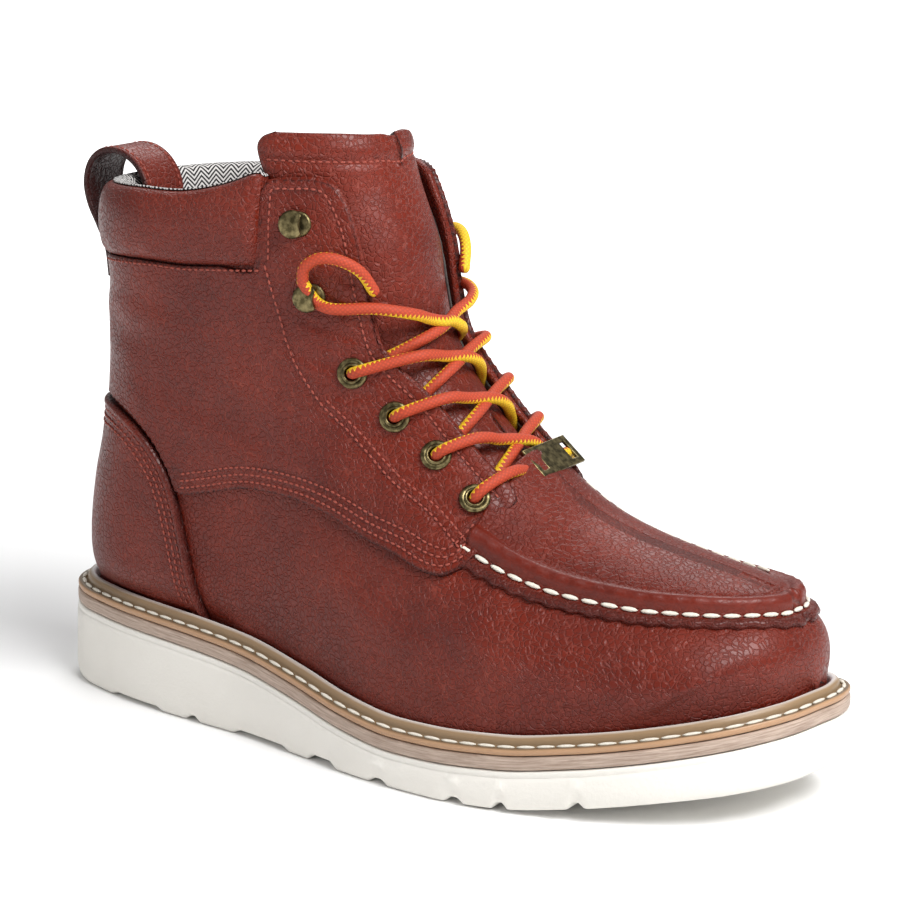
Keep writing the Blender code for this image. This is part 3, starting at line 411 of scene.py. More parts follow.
# Inset and height of the section: its edge, the groove, the rib and down its inner side
WELT_ROWS = (
    (6.8, 0.0), (1.4, 0.0), (0.9, 0.15), (0.6, 0.6), (0.55, 1.2), (0.6, 1.8), (0.9, 2.25),
    (1.5, 2.4), (2.1, 2.3), (2.7, 2.0), (3.3, 2.15), (3.9, 2.4), (4.05, 3.0), (4.2, 4.0),
    (4.6, 4.9), (5.2, 5.5), (5.9, 5.75), (6.6, 5.55), (7.1, 4.9), (7.2, 3.8), (7.2, 1.0),
)


def feather_z(x):
    return sole_top(x) + 2 * GAP + MIDSOLE_THICK


def welt_rubber():
    """Smooth moulded rubber: a tan edge, and an olive-brown rib with a soft shine, painted paler
    along its crest as a painted highlight and darker at the stitch groove and down its inner flank
    as painted shade.
    """
    look, tree, shader = new_material("welt_rubber")
    uv = add(tree, "ShaderNodeUVMap", {"uv_map": "UVMap"}).outputs[0]
    split = add(tree, "ShaderNodeSeparateXYZ", Vector=uv)
    drawn = add(tree, "ShaderNodeMapping", Vector=uv, Scale=(0.08, 1.2, 1.0)).outputs[0]
    streak = add(tree, "ShaderNodeTexNoise", Detail=4.0, Scale=1.0, Vector=drawn)
    height = add(tree, "ShaderNodeMath", {"operation": "MULTIPLY_ADD"},
                 in_0=streak.outputs["Fac"], in_1=0.8, in_2=split.outputs["Y"])
    ramp = add(tree, "ShaderNodeValToRGB",
               Fac=add(tree, "ShaderNodeMapRange", Value=height.outputs[0],
                       From_Min=5.0, From_Max=17.0).outputs[0])
    # Up the profile: the tan edge, then the olive-brown rib, with painted shade at the stitch
    # groove and on the inner flank, and a painted highlight along the crest
    rubber_tones_and_painted_shade = ((0.0, "#a98464"), (0.26, "#b48d6b"), (0.33, "#6f5a42"), (0.55, "#826b4f"),
             (0.8, "#94795a"), (1.0, "#5a4a38"))
    ramp.color_ramp.elements.remove(ramp.color_ramp.elements[0])
    for place, colour in rubber_tones_and_painted_shade:
        stop = ramp.color_ramp.elements.new(place)
        stop.color = linear(colour)
    ramp.color_ramp.elements.remove(ramp.color_ramp.elements[-1])
    tree.links.new(ramp.outputs[0], shader.inputs["Base Color"])
    bump = add(tree, "ShaderNodeBump", Strength=0.15, Distance=0.0002, Height=streak.outputs["Fac"])
    tree.links.new(bump.outputs[0], shader.inputs["Normal"])
    shader.inputs["Roughness"].default_value = 0.42
    return look


ring = ring_of_sole(WELT_ROWS, lambda x, level: feather_z(x) + level)
quads = grid_quads(len(ring), len(WELT_ROWS), wrap_rows=True, wrap_cols=True)
welt = piece("storm_welt", ring.reshape(-1, 3), quads, welt_rubber(), band_uv(ring))
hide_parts("welt")


def thread(name, colour, shade, wound=1.1):
    """Waxed twisted thread: matt, its tone mottled with fine noise."""
    look, tree, shader = new_material(name)
    place = in_mm(tree)
    fuzz = add(tree, "ShaderNodeTexNoise", Vector=place, Scale=wound, Detail=2.0)
    tone = add(tree, "ShaderNodeMixRGB", Fac=fuzz.outputs["Fac"],
               Color1=linear(colour), Color2=linear(shade))
    tree.links.new(tone.outputs[0], shader.inputs["Base Color"])
    shader.inputs["Roughness"].default_value = 0.75
    return look


def new_rule(name, *sizes):
    """Geometry Nodes tree from geometry to geometry, and the identifiers of its named sizes."""
    tree = bpy.data.node_groups.new(name, "GeometryNodeTree")
    tree.interface.new_socket("Geometry", in_out="INPUT", socket_type="NodeSocketGeometry")
    sockets = [
        tree.interface.new_socket(size, in_out="INPUT", socket_type="NodeSocketFloat").identifier
        for size in sizes]
    tree.interface.new_socket("Geometry", in_out="OUTPUT", socket_type="NodeSocketGeometry")
    return tree, sockets


def bake(made):
    """Makes what an object's modifiers give its plain mesh, and removes them."""
    graph = bpy.context.evaluated_depsgraph_get()
    result = bpy.data.meshes.new_from_object(made.evaluated_get(graph))
    made.modifiers.clear()
    made.data = result


def follow_rule(name, points, outs, edges, rule, sizes):
    """Plain mesh that a tree makes on points with their directions off the surface."""
    mesh = bpy.data.meshes.new(name)
    mesh.from_pydata([tuple(p) for p in points], edges, [])
    mesh.attributes.new("out", "FLOAT_VECTOR", "POINT").data.foreach_set(
        "vector", np.asarray(outs, np.float32).ravel())
    made = bpy.data.objects.new(name, mesh)
    SCENE.objects.link(made)
    modifier = made.modifiers.new("rule", "NODES")
    modifier.node_group, sockets = rule
    for socket, size in zip(sockets, sizes):
        modifier[socket] = size * MM
    bake(made)
    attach(made, "root")
    return made


def stitch_rule(look):
    """Geometry Nodes: a squashed bead on every pitch of each line, along the line."""
    tree, sockets = new_rule("stitches", "Pitch", "Length", "Width", "Height")
    given = add(tree, "NodeGroupInput").outputs
    line = add(tree, "GeometryNodeMeshToCurve", in_0=given["Geometry"])
    spaced = add(tree, "GeometryNodeResampleCurve", {"mode": "LENGTH"},
                 Curve=line.outputs[0], Length=given["Pitch"])
    aim = add(tree, "FunctionNodeAxesToRotation",
              in_0=add(tree, "GeometryNodeInputTangent").outputs[0],
              in_1=add(tree, "GeometryNodeInputNamedAttribute", {"data_type": "FLOAT_VECTOR"},
                       Name="out").outputs[0])
    aim.primary_axis, aim.secondary_axis = "X", "Z"
    bead = add(tree, "GeometryNodeMeshUVSphere", Segments=8, Rings=6, Radius=0.5)
    size = add(tree, "ShaderNodeCombineXYZ", X=given["Length"], Y=given["Width"], Z=given["Height"])
    shaped = add(tree, "GeometryNodeTransform", Geometry=bead.outputs[0], Scale=size.outputs[0])
    copies = add(tree, "GeometryNodeInstanceOnPoints", Points=spaced.outputs[0],
                 Instance=shaped.outputs[0], Rotation=aim.outputs[0])
    real = add(tree, "GeometryNodeRealizeInstances", in_0=copies.outputs[0])
    soft = add(tree, "GeometryNodeSetShadeSmooth", in_0=real.outputs[0])
    coloured = add(tree, "GeometryNodeSetMaterial", Geometry=soft.outputs[0], Material=look)
    result = add(tree, "NodeGroupOutput")
    tree.links.new(coloured.outputs[0], result.inputs[0])
    return tree, sockets


def sewn(name, lines, look, pitch, length, width, height):
    """Stitches along lines given as points with the direction off the surface."""
    points, outs, edges = [], [], []
    for line, out in lines:
        first = len(points)
        points += list(placed(line))
        outs += list(out)
        edges += [(first + i, first + i + 1) for i in range(len(line) - 1)]
    return follow_rule(name, points, outs, edges, stitch_rule(look), (pitch, length, width, height))


WELT_PITCH = 6.9
stitch_line = ring_of_sole(
    ((WELT_STITCH_INSET, 2.55),), lambda x, level: feather_z(x) + level)[:, 0]
stitch_line = np.vstack([stitch_line, stitch_line[:1]])
CREAM_THREAD = thread("cream_welt_thread", "#f0ece2", "#c9c0ae")
welt_stitches = sewn(
    "welt_stitches", [(stitch_line, np.tile((0, 0, 1.0), (len(stitch_line), 1)))],
    CREAM_THREAD, WELT_PITCH, 6.6, 1.5, 1.15)

# Upper: vamp and shaft in one shell of pebbled full-grain leather, pulled over the last and
# held under the welt. Soft creases lie where it bends at the ankle and between the eyelets,
# and the edges that carry the eyelets stand a little away from the tongue.
LEATHER = 2.2
HEEL_RECESS = 2.6
FLANGE = 9.0
HEEL_ROUND, SHAFT_BACK_ROUND, SECTION_POWER = 33.0, 44.0, 2.2
FOOT_UPRIGHT, FOOT_BLEND = 5.5, 15.0
BACK_LINE = [
    (30, 10.4), (44, 11.2), (57, 11.4), (78, 14.4), (94, 18.2), (105, 20.0), (113, 21.6),
    (135, 22.7), (164, 23.5), (180, 23.4), (200, 22.8),
]
RIDGE_LINE = [
    (296.4, 36, 46), (297.8, 46, 46), (296.0, 56, 44), (291.0, 63, 42), (283, 67.8, 40),
    (268, 72.2, 38), (250, 75.8, 38), (232, 80.0, 38), (215, 86.3, 40), (202, 94.8, 44),
    (185, 110.0, 50), (168, 128.5, 55), (158, 144, 58), (154, 158, 60), (151.5, 172, 60),
    (146.5, 185, 60), (142, 196, 60), (137.5, 212, 60),
]
MIDDLE_LINE = [(0, 0), (150, 0), (190, 1.5), (220, 3.5), (260, 6.5), (300, 9.2)]
FOOT_WIDTH = [
    (0, 29.5, 29.0), (45, 31.5, 30.0), (72, 33.5, 31.0), (100, 36.5, 33.0), (129, 43, 36),
    (159, 49.5, 39.5), (190, 53, 42.5), (212, 53.5, 42.5), (234, 51.5, 41.5),
    (253, 49, 39.0), (272, 46, 36.5), (285, 43, 35), (305, 41, 34),
]
SHAFT_WIDTH = [(40, 34), (80, 34), (105, 34.5), (130, 35.5), (160, 38), (185, 39.5), (210, 39.5)]
COLLAR_LINE = [
    (23.4, 183.0), (40, 184.2), (54, 185.0), (74, 185.6), (92, 189.5), (105, 195.0),
    (118, 197.2), (126, 196.6), (130.5, 193.0),
]
FACING_LINE = [
    (130.5, 193.0), (136, 182), (139.5, 171), (142, 160), (144, 150), (146.5, 141.5),
    (152, 134.5), (163, 124.5), (176, 111.5), (190, 99.5), (197.5, 96.0),
]
# Ends in side view, width and depth of each crease
CREASES = [
    (122, 149, 139, 144, 1.5, 0.55), (117, 139, 133, 134, 2.0, 0.45),
    (131, 124, 146, 125, 1.4, 0.5), (146, 111, 160, 113, 1.4, 0.5), (162, 98, 176, 101, 1.4, 0.45),
    (178, 86, 190, 90, 1.3, 0.35),
    (126, 172, 137, 163, 1.6, 0.5), (121, 165, 136, 152, 1.5, 0.4),
    (40, 138, 84, 128, 5.5, 0.7), (58, 122, 104, 108, 6.5, 0.7), (34, 152, 66, 150, 5.0, 0.5),
    (150, 70, 176, 56, 6.0, 0.45), (176, 64, 196, 46, 7.0, 0.5), (214, 66, 206, 50, 6.0, 0.35),
]
RIDGE_PATH = smooth_path([row[:2] for row in RIDGE_LINE])
RIDGE_RADII = smooth_path([(i, row[2]) for i, row in enumerate(RIDGE_LINE)])[:, 1]
FACING_PATH = smooth_path(FACING_LINE, per_span=5)


def to_polyline(x, z, path):
    """Distance to a polyline in side view, with the nearest span and place on it."""
    x, z = np.broadcast_arrays(np.asarray(x, float), np.asarray(z, float))
    flat = np.stack([x.ravel(), z.ravel()], -1)
    a, ab = path[:-1], path[1:] - path[:-1]
    reach = np.maximum((ab * ab).sum(1), 1e-12)
    far, span, place = [], [], []
    for part in np.array_split(flat, len(flat) // 4096 + 1):
        t = np.clip(((part[:, None] - a) * ab).sum(-1) / reach, 0, 1)
        d = np.linalg.norm(a + t[..., None] * ab - part[:, None], axis=-1)
        k = d.argmin(1)
        rows = np.arange(len(part))
        far.append(d[rows, k])
        span.append(k)
        place.append(t[rows, k])
    return [np.concatenate(v).reshape(x.shape) for v in (far, span, place)]


def rounding(distance, radius):
    q = 1 - np.clip(distance / radius, 0, 1)
    return (1 - q**SECTION_POWER) ** (1 / SECTION_POWER)


def back_x(z):
    return lookup(BACK_LINE, z)


def middle_y(x):
    return lookup(MIDDLE_LINE, x)


def feather_inset(x):
    return FEATHER_INSET + HEEL_RECESS * (1 - ease((x - 77) / 22))


FEATHER_LINES = {}
for side in (-1, 1):
    even = np.linspace(0, 1, 241)
    inset = feather_inset(sole_edge(even, np.full(241, FEATHER_INSET), side)[:, 0])
    foot = sole_edge(even, inset, side)
    FEATHER_LINES[side] = (foot[:, 0], np.maximum(side * (foot[:, 1] - middle_y(foot[:, 0])), 0))


def half_width(side, x, z):
    """Half width of the upper's outer face, from the middle line; side is -1 or 1."""
    side, x, z = np.broadcast_arrays(side, np.asarray(x, float), np.asarray(z, float))
    low = np.where(side < 0, lookup(FOOT_WIDTH, x, 1), lookup(FOOT_WIDTH, x, 2))
    mix = ease((z - 45) / 75)
    body = low * (1 - mix) + lookup(SHAFT_WIDTH, z) * mix
    back_round = HEEL_ROUND + (SHAFT_BACK_ROUND - HEEL_ROUND) * ease((z - 70) / 70)
    distance, span, t = to_polyline(x, z, RIDGE_PATH)
    radius = RIDGE_RADII[span] * (1 - t) + RIDGE_RADII[span + 1] * t
    wide = body * rounding(x - back_x(z), back_round) * rounding(distance, radius)
    near = np.maximum(0, 1 - np.maximum(z - feather_z(x) - FOOT_UPRIGHT, 0) / FOOT_BLEND) ** 2
    foot = np.where(side < 0, np.interp(x, *FEATHER_LINES[-1]), np.interp(x, *FEATHER_LINES[1]))
    return wide * (1 - near) + foot * near


def relief(x, z):
    """Creases, and the lifted edge at the lacing."""
    total = np.zeros(np.broadcast(x, z).shape)
    for x1, z1, x2, z2, width, depth in CREASES:
        d, _, t = to_polyline(x, z, np.array([(x1, z1), (x2, z2)], float))
        q = d / width
        ridges = 0.45 * np.exp(-((q - 1.7) ** 2) * 1.6)
        total += depth * (ridges - np.exp(-q * q)) * np.exp(-(q / 4) ** 4)
    edge = to_polyline(x, z, FACING_PATH)[0]
    total += 2.6 * np.clip(1 - edge / 17, 0, 1) ** 2 * ease((z - 84) / 12)
    return total * ease((z - feather_z(x) - 6) / 10)


def skin(side, x, z, lift=0.0, plain=False):
    """Points on the upper's outer face, lifted off it, and the directions off it."""
    side, x, z = np.broadcast_arrays(side, np.asarray(x, float), np.asarray(z, float))
    step = 0.05
    w = half_width(side, x, z)
    wx = (half_width(side, x + step, z) - half_width(side, x - step, z)) / (2 * step)
    wz = (half_width(side, x, z + step) - half_width(side, x, z - step)) / (2 * step)
    bend = (middle_y(x + step) - middle_y(x - step)) / (2 * step)
    out = np.stack([-side * bend - wx, side * np.ones_like(w), -wz], -1)
    out /= np.linalg.norm(out, axis=-1, keepdims=True)
    high = lift if plain else lift + relief(x, z)
    here = np.stack([x, middle_y(x) + side * w, z], -1)
    return here + np.asarray(high)[..., None] * out, out


def pebbled_leather(name, base, deep, lines, cell=2.0, gloss=0.36):
    """Full-grain cowhide with a pebbled grain: rounded cells about 2 mm wide, a soft wax shine,
    and darker cut edges. The valleys between the cells are painted paler, a painted highlight
    where light catches their edges, and the stitch grooves carry painted shade. The grain is
    flatter where the leather is stretched over a bead."""
    look, tree, shader = new_material(name)
    place = in_mm(tree)
    drift = add(tree, "ShaderNodeTexNoise", Vector=place, Scale=0.22, Detail=2.0)
    moved = add(tree, "ShaderNodeVectorMath", {"operation": "MULTIPLY_ADD"},
                in_0=drift.outputs["Color"], in_1=(3.0, 3.0, 3.0), in_2=place).outputs[0]
    valley = add(tree, "ShaderNodeTexVoronoi", {"feature": "DISTANCE_TO_EDGE"},
                 Vector=moved, Scale=1 / cell)
    each = add(tree, "ShaderNodeTexVoronoi", Vector=moved, Scale=1 / cell)
    pores = add(tree, "ShaderNodeTexNoise", Vector=place, Scale=1.1, Detail=5.0, Roughness=0.6)
    cloud = add(tree, "ShaderNodeTexNoise", Vector=place, Scale=0.03, Detail=3.0)
    dome = add(tree, "ShaderNodeMapRange", {"interpolation_type": "SMOOTHSTEP"},
               Value=valley.outputs["Distance"], From_Min=0.0, From_Max=0.17).outputs[0]
    patch = add(tree, "ShaderNodeMapRange", Value=cloud.outputs["Fac"],
                From_Min=0.35, From_Max=0.65, To_Min=0.15, To_Max=0.42).outputs[0]
    # Painted highlight: the valleys between the cells are painted paler, as where light catches
    # their edges; how much varies at random, and it fades where the leather is stretched
    valley_sheen = add(tree, "ShaderNodeMapRange", Value=valley.outputs["Distance"],
               From_Min=0.01, From_Max=0.065, To_Min=patch, To_Max=0.0).outputs[0]
    tone = add(tree, "ShaderNodeMapRange", Value=cloud.outputs["Fac"],
               From_Min=0.3, From_Max=0.7).outputs[0]
    body = add(tree, "ShaderNodeMixRGB", Fac=tone, Color1=linear(deep), Color2=linear(base))
    speck = add(tree, "ShaderNodeSeparateColor", Color=each.outputs["Color"])
    vary = add(tree, "ShaderNodeMapRange", Value=speck.outputs[0], To_Min=0.9, To_Max=1.08)
    toned = add(tree, "ShaderNodeVectorMath", {"operation": "SCALE"},
                Vector=body.outputs[0], Scale=vary.outputs[0])
    taut = add(tree, "ShaderNodeAttribute", {"attribute_name": "stretched"}).outputs["Fac"]
    fade = add(tree, "ShaderNodeMapRange", Value=taut, To_Min=1.0, To_Max=0.1).outputs[0]
    valley_sheen = add(tree, "ShaderNodeMath", {"operation": "MULTIPLY"}, in_0=valley_sheen, in_1=fade).outputs[0]
    with_valley_sheen = add(tree, "ShaderNodeMixRGB", Fac=valley_sheen, Color1=toned.outputs[0], Color2=linear(lines))
    # Darker at the cut edges, which are painted dark, and as painted shade along the stitch grooves
    rim = add(tree, "ShaderNodeAttribute", {"attribute_name": "cut_edge_and_groove_shade"})
    with_edges_and_groove_shade = add(tree, "ShaderNodeMixRGB", Fac=rim.outputs["Fac"], Color1=with_valley_sheen.outputs[0],
                Color2=linear("#35100d"))
    tree.links.new(with_edges_and_groove_shade.outputs[0], shader.inputs["Base Color"])
    height = add(tree, "ShaderNodeMath", {"operation": "MULTIPLY_ADD"},
                 in_0=pores.outputs["Fac"], in_1=0.25, in_2=dome)
    strength = add(tree, "ShaderNodeMapRange", Value=taut, To_Min=0.95, To_Max=0.15)
    bump = add(tree, "ShaderNodeBump", Strength=strength.outputs[0], Distance=0.0003,
               Height=height.outputs[0])
    tree.links.new(bump.outputs[0], shader.inputs["Normal"])
    shine = add(tree, "ShaderNodeMapRange", Value=dome, To_Min=gloss + 0.22, To_Max=gloss)
    tree.links.new(shine.outputs[0], shader.inputs["Roughness"])
    shader.inputs["Coat Weight"].default_value = 0.1
    shader.inputs["Specular IOR Level"].default_value = 0.28
    shader.inputs["Coat Roughness"].default_value = 0.35
    return look


# The third colour is the painted highlight of the valleys between the pebbles
OXBLOOD = pebbled_leather("oxblood_pebbled_leather", "#702110", "#5c190d", "#93483a")


def solid(made, thick):
    """Gives a sheet its thickness, inwards."""
    wall = made.modifiers.new("thickness", "SOLIDIFY")
    wall.thickness = thick * MM
    wall.offset = -1
    wall.use_even_offset = True
    bake(made)
    return made


COLLAR_SHARE, FACING_SHARE, THROAT_Z, UPRIGHT_ROW = 0.30, 0.60, 95.5, 6.0
vamp_ridge = RIDGE_PATH[: int(np.argmax(RIDGE_PATH[:, 1] > THROAT_Z))][::-1]
vamp_ridge = vamp_ridge[vamp_ridge[:, 1] >= 44.0]
COLLAR_COLUMNS, FACING_COLUMNS, VAMP_COLUMNS, UPPER_ROWS = 60, 56, 70, 56
u = np.arange(COLLAR_COLUMNS) / COLLAR_COLUMNS
shares = [u * COLLAR_SHARE]
tops = [along(smooth_path(COLLAR_LINE), u**1.8)]
u = np.arange(FACING_COLUMNS + 1) / FACING_COLUMNS
shares.append(COLLAR_SHARE + u * (FACING_SHARE - COLLAR_SHARE))
tops.append(along(smooth_path(FACING_LINE), u))
u = np.arange(VAMP_COLUMNS) / (VAMP_COLUMNS - 1)
shares.append(FACING_SHARE + (np.arange(VAMP_COLUMNS) + 1) / VAMP_COLUMNS * (1 - FACING_SHARE))
tops.append(along(vamp_ridge, u))
shares, tops = np.concatenate(shares), np.vstack(tops)
on_ridge = np.arange(len(shares)) > COLLAR_COLUMNS + FACING_COLUMNS
halves = []
for side in (-1, 1):
    inset = feather_inset(sole_edge(shares, np.full(len(shares), FEATHER_INSET), side)[:, 0])
    foot = sole_edge(shares, inset, side)
    under = sole_edge(shares, inset + FLANGE, side)
    foot_z = feather_z(foot[:, 0])
    rows = [np.column_stack([under, feather_z(under[:, 0]) + 0.3]), np.column_stack([foot, foot_z])]
    for j in range(1, UPPER_ROWS + 1):
        first = UPRIGHT_ROW / (tops[:, 1] - foot_z)
        v = first + (1 - first) * (j - 1) / (UPPER_ROWS - 1)
        bend = ease((shares - COLLAR_SHARE) / (FACING_SHARE - COLLAR_SHARE))
        if j > 1:
            v = v + 0.45 * bend * (np.sin(v * math.pi / 2) - v)
        z = foot_z + (tops[:, 1] - foot_z) * v
        x = foot[:, 0] + (tops[:, 0] - foot[:, 0]) * v
        straight = 10.4 + (back_x(tops[:, 1]) - 10.4) * v
        near = np.maximum(0, 1 - np.maximum(x - straight, 0) / 70) ** 2
        x = x + (back_x(z) - straight) * near
        point = skin(side, x, z)[0]
        if j == UPPER_ROWS:
            seam = np.column_stack([tops[:, 0], middle_y(tops[:, 0]), tops[:, 1]])
            point = np.where(on_ridge[:, None], seam, point)
        ends = (shares <= 0) | (shares >= 1)
        point[ends, 1] = middle_y(point[ends, 0])
        rows.append(point)
    halves.append(np.stack(rows, 1))
upper_grid = np.concatenate([halves[0], halves[1][::-1][1:-1]])
quads = grid_quads(*upper_grid.shape[:2], wrap_rows=True)
upper = solid(piece("leather_upper", upper_grid.reshape(-1, 3), quads, OXBLOOD), LEATHER)
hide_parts("upper")

# Lining: woven textile, dark grey and matt, glued to the inside of the whole upper, where
# it is seen only deep in the shaft.
def plain_weave(name, light, dark, pitch=1.1):
    """Cotton textile, plain woven, drawn at the pitch that still shows: matt, slightly fuzzy."""
    look, tree, shader = new_material(name)
    place = in_mm(tree)
    weave = add(tree, "ShaderNodeTexChecker", Vector=place, Scale=1 / pitch)
    fuzz = add(tree, "ShaderNodeTexNoise", Vector=place, Scale=0.5, Detail=4.0)
    tone = add(tree, "ShaderNodeMixRGB", Fac=fuzz.outputs["Fac"],
               Color1=linear(light), Color2=linear(dark))
    tree.links.new(tone.outputs[0], shader.inputs["Base Color"])
    bump = add(tree, "ShaderNodeBump", Strength=0.3, Distance=0.0002, Height=weave.outputs["Fac"])
    tree.links.new(bump.outputs[0], shader.inputs["Normal"])
    shader.inputs["Roughness"].default_value = 0.92
    return look


LINING_DEPTH, LINING_THICK = 2.6, 0.5
inner_grid = upper_grid[:, ::2].copy()
if upper_grid.shape[1] % 2 == 0:
    inner_grid[:, -1] = upper_grid[:, -1]
all_ridge = np.concatenate([on_ridge, on_ridge[::-1][1:-1]])
inner_grid[~all_ridge, -1] = 0.7 * inner_grid[~all_ridge, -2] + 0.3 * inner_grid[~all_ridge, -1]
ahead = np.roll(inner_grid, -1, 0) - np.roll(inner_grid, 1, 0)
rise = np.gradient(inner_grid, axis=1)
out = np.cross(ahead, rise)
out /= np.maximum(np.linalg.norm(out, axis=-1, keepdims=True), 1e-9)
middle = inner_grid.mean(axis=(0, 1))
out *= np.sign(((inner_grid - middle) * out).sum(-1).mean())
for _ in range(6):
    out = (np.roll(out, 1, 0) + out + np.roll(out, -1, 0)) / 3
    out[:, 1:-1] = (out[:, :-2] + out[:, 1:-1] + out[:, 2:]) / 3
out /= np.maximum(np.linalg.norm(out, axis=-1, keepdims=True), 1e-9)
quads = grid_quads(*inner_grid.shape[:2], wrap_rows=True)
LINING_CLOTH = plain_weave("grey_lining_weave", "#6f6a67", "#4b4744")
inner_grid = inner_grid - LINING_DEPTH * out
lining = solid(
    piece("shaft_lining", inner_grid.reshape(-1, 3), quads, LINING_CLOTH), LINING_THICK)

# Insole: a foam footbed with a woven cover. It lies loose on the lasted margin inside the
# boot, and its edge curls up a little at the side walls.
def footbed_rows(inset, height):
    sides = []
    for side in (-1, 1):
        even = np.linspace(0, 1, 121)
        edge = feather_inset(sole_edge(even, np.full(121, FEATHER_INSET), side)[:, 0])
        p = sole_edge(even, edge + inset, side)
        sides.append(np.column_stack([p, feather_z(p[:, 0]) + height]))
    return sides


footbed = [footbed_rows(*row) for row in (
    (10.0, 0.3), (10.0, 2.8), (3.5, 2.8), (3.4, 4.2), (4.0, 5.5), (5.5, 5.8), (12.0, 5.5))]
lateral = [pair[0] for pair in footbed]
medial = [pair[1] for pair in footbed][::-1]
footbed_grid = np.stack(lateral + medial, 1)
quads = grid_quads(*footbed_grid.shape[:2], wrap_cols=True)
insole = piece("footbed", footbed_grid.reshape(-1, 3), quads,
               plain_weave("footbed_cover", "#8a7a66", "#5f5346"))
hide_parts("insole")

# Quarters: one leather panel on each side carries the eyelets. It is lapped over the vamp
# with three rows of stitches, its cut edges skived and painted a darker brown.
PANEL_TOP = 2.3
QUARTER_LINES = [
    (24.0, 110.6, 23.9, 159.8), (29.5, 110.8, 28.5, 161.0), (36.0, 110.2, 34.0, 162.0),
    (41.8, 109.0, 40.0, 162.7), (47.5, 106.6, 46.0, 163.2), (52.8, 102.8, 53.0, 163.6),
    (57.5, 98.0, 60.0, 163.8), (62.8, 89.8, 67.0, 163.8), (67.3, 81.6, 75.0, 163.8),
    (78.0, 82.8, 90.0, 165.0), (92.0, 86.3, 106.0, 166.2), (102.0, 87.8, 107.6, 193.6),
    (114.0, 87.8, 118.5, 196.2), (126.0, 86.7, 125.8, 195.6), (136.0, 84.7, 129.8, 192.2),
    (145.0, 81.9, 135.3, 181.5), (153.0, 79.4, 138.8, 170.3), (161.0, 77.4, 141.9, 155.0),
    (168.0, 75.6, 146.0, 141.2), (174.0, 73.4, 151.6, 134.0), (180.0, 71.9, 162.6, 124.0),
    (186.0, 71.9, 175.6, 111.0), (191.5, 75.3, 188.6, 99.8), (194.5, 80.0, 194.2, 95.6),
    (197.3, 86.0, 197.2, 92.5),
]


def crowded(length, step=1.15):
    """Places from 0 to 1 along a length in millimetres, close together at both ends."""
    near = np.array([0, 0.25, 0.6, 1.05, 1.6, 2.3])
    middle = np.arange(near[-1], length - near[-1], step)[1:-1]
    return np.concatenate([near, middle, length - near[::-1]]) / length


def border_distance(grid):
    """How far each point of a grid lies from the grid's border."""
    edge = np.concatenate([grid[0], grid[-1], grid[:, 0], grid[:, -1]])[::2]
    flat = grid.reshape(-1, 3)
    near = [np.sqrt(((part[:, None] - edge) ** 2).sum(-1).min(1))
            for part in np.array_split(flat, len(flat) // 2000 + 1)]
    return np.concatenate(near).reshape(grid.shape[:2])


def plate(name, outer, inner, look, marks=None):
    """Closed slab between two equal grids; its inner face counts as a cut edge."""
    rows, cols = outer.shape[:2]
    half = rows * cols
    i, j = np.arange(rows), np.arange(cols)
    border = np.concatenate(
        [j, i[1:] * cols + cols - 1, (rows - 1) * cols + j[-2::-1], i[-2:0:-1] * cols])
    after = np.roll(border, -1)
    quads = np.vstack([
        grid_quads(rows, cols), grid_quads(rows, cols, start=half),
        np.stack([border, after, half + after, half + border], -1)])
    points = np.vstack([outer.reshape(-1, 3), inner.reshape(-1, 3)])
    full = {key: np.concatenate([values.ravel(), np.ones(half)])
            for key, values in (marks or {}).items()}
    return piece(name, points, quads, look, marks=full)


# Stitch rows, in from the panel's lower edge and from the edge that carries the eyelets
STITCH_ROWS = (2.6, 5.1, 7.6)
FACING_ROW = 3.0


def overlay(name, side, x, z, top, grooves=(), under=-0.4):
    """Panel on the skin: rounded cut edge, and a shallow groove under each stitch row, painted
    darker along its middle as painted shade.
    """
    base, out = skin(side, x, z)
    d = border_distance(base)
    high = top - 0.85 * np.clip(1 - d / 1.1, 0, 1) ** 2
    for near, depth, width in grooves:
        high = high - depth * np.exp(-((near / width) ** 2))
    outer = base + high[..., None] * out
    inner = base + under * out
    # Painted shade: a dark stripe along the middle of each stitch groove, which shows between the
    # stitches; it is added to the dark of the cut edges
    groove_shade = sum(0.45 * np.exp(-((near / 0.45) ** 2)) for near, _, _ in grooves)
    cut_edge_and_groove_shade = np.minimum(np.exp(-(d / 0.8) ** 2) + groove_shade, 1)
    return plate(name, outer, inner, OXBLOOD, {"cut_edge_and_groove_shade": cut_edge_and_groove_shade})


spine = smooth_path(QUARTER_LINES)
columns = along(spine, crowded(250, 1.5))
v = crowded(80, 1.15)
quarter_x = columns[:, 0] + v[:, None] * (columns[:, 2] - columns[:, 0])
quarter_z = columns[:, 1] + v[:, None] * (columns[:, 3] - columns[:, 1])
lower_edge = spine[(spine[:, 0] > 66) & (spine[:, 0] < 196)][:, :2]
upper_edge = spine[spine[:, 2] > 107][:, 2:]
FLAP_SEAM = smooth_path([
    (109.2, 166.4), (113.9, 150.6), (118.5, 136.1), (129.1, 121.6), (140, 112.9),
    (158.2, 98.4), (175.4, 88.6), (187.1, 80.3)])
to_low = to_polyline(quarter_x, quarter_z, lower_edge)[0]
to_high = to_polyline(quarter_x, quarter_z, upper_edge)[0]
to_seam = to_polyline(quarter_x, quarter_z, FLAP_SEAM)[0]
grooves = [(to_low - r, 0.28, 0.8) for r in STITCH_ROWS]
grooves += [(to_high - FACING_ROW, 0.28, 0.9), (to_seam, 0.3, 1.0)]
for name, node, side in (("outer_quarter", "quarter_lateral", -1),
                         ("inner_quarter", "quarter_medial", 1)):
    made = overlay(name, side, quarter_x, quarter_z, PANEL_TOP, grooves)
    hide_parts(node)

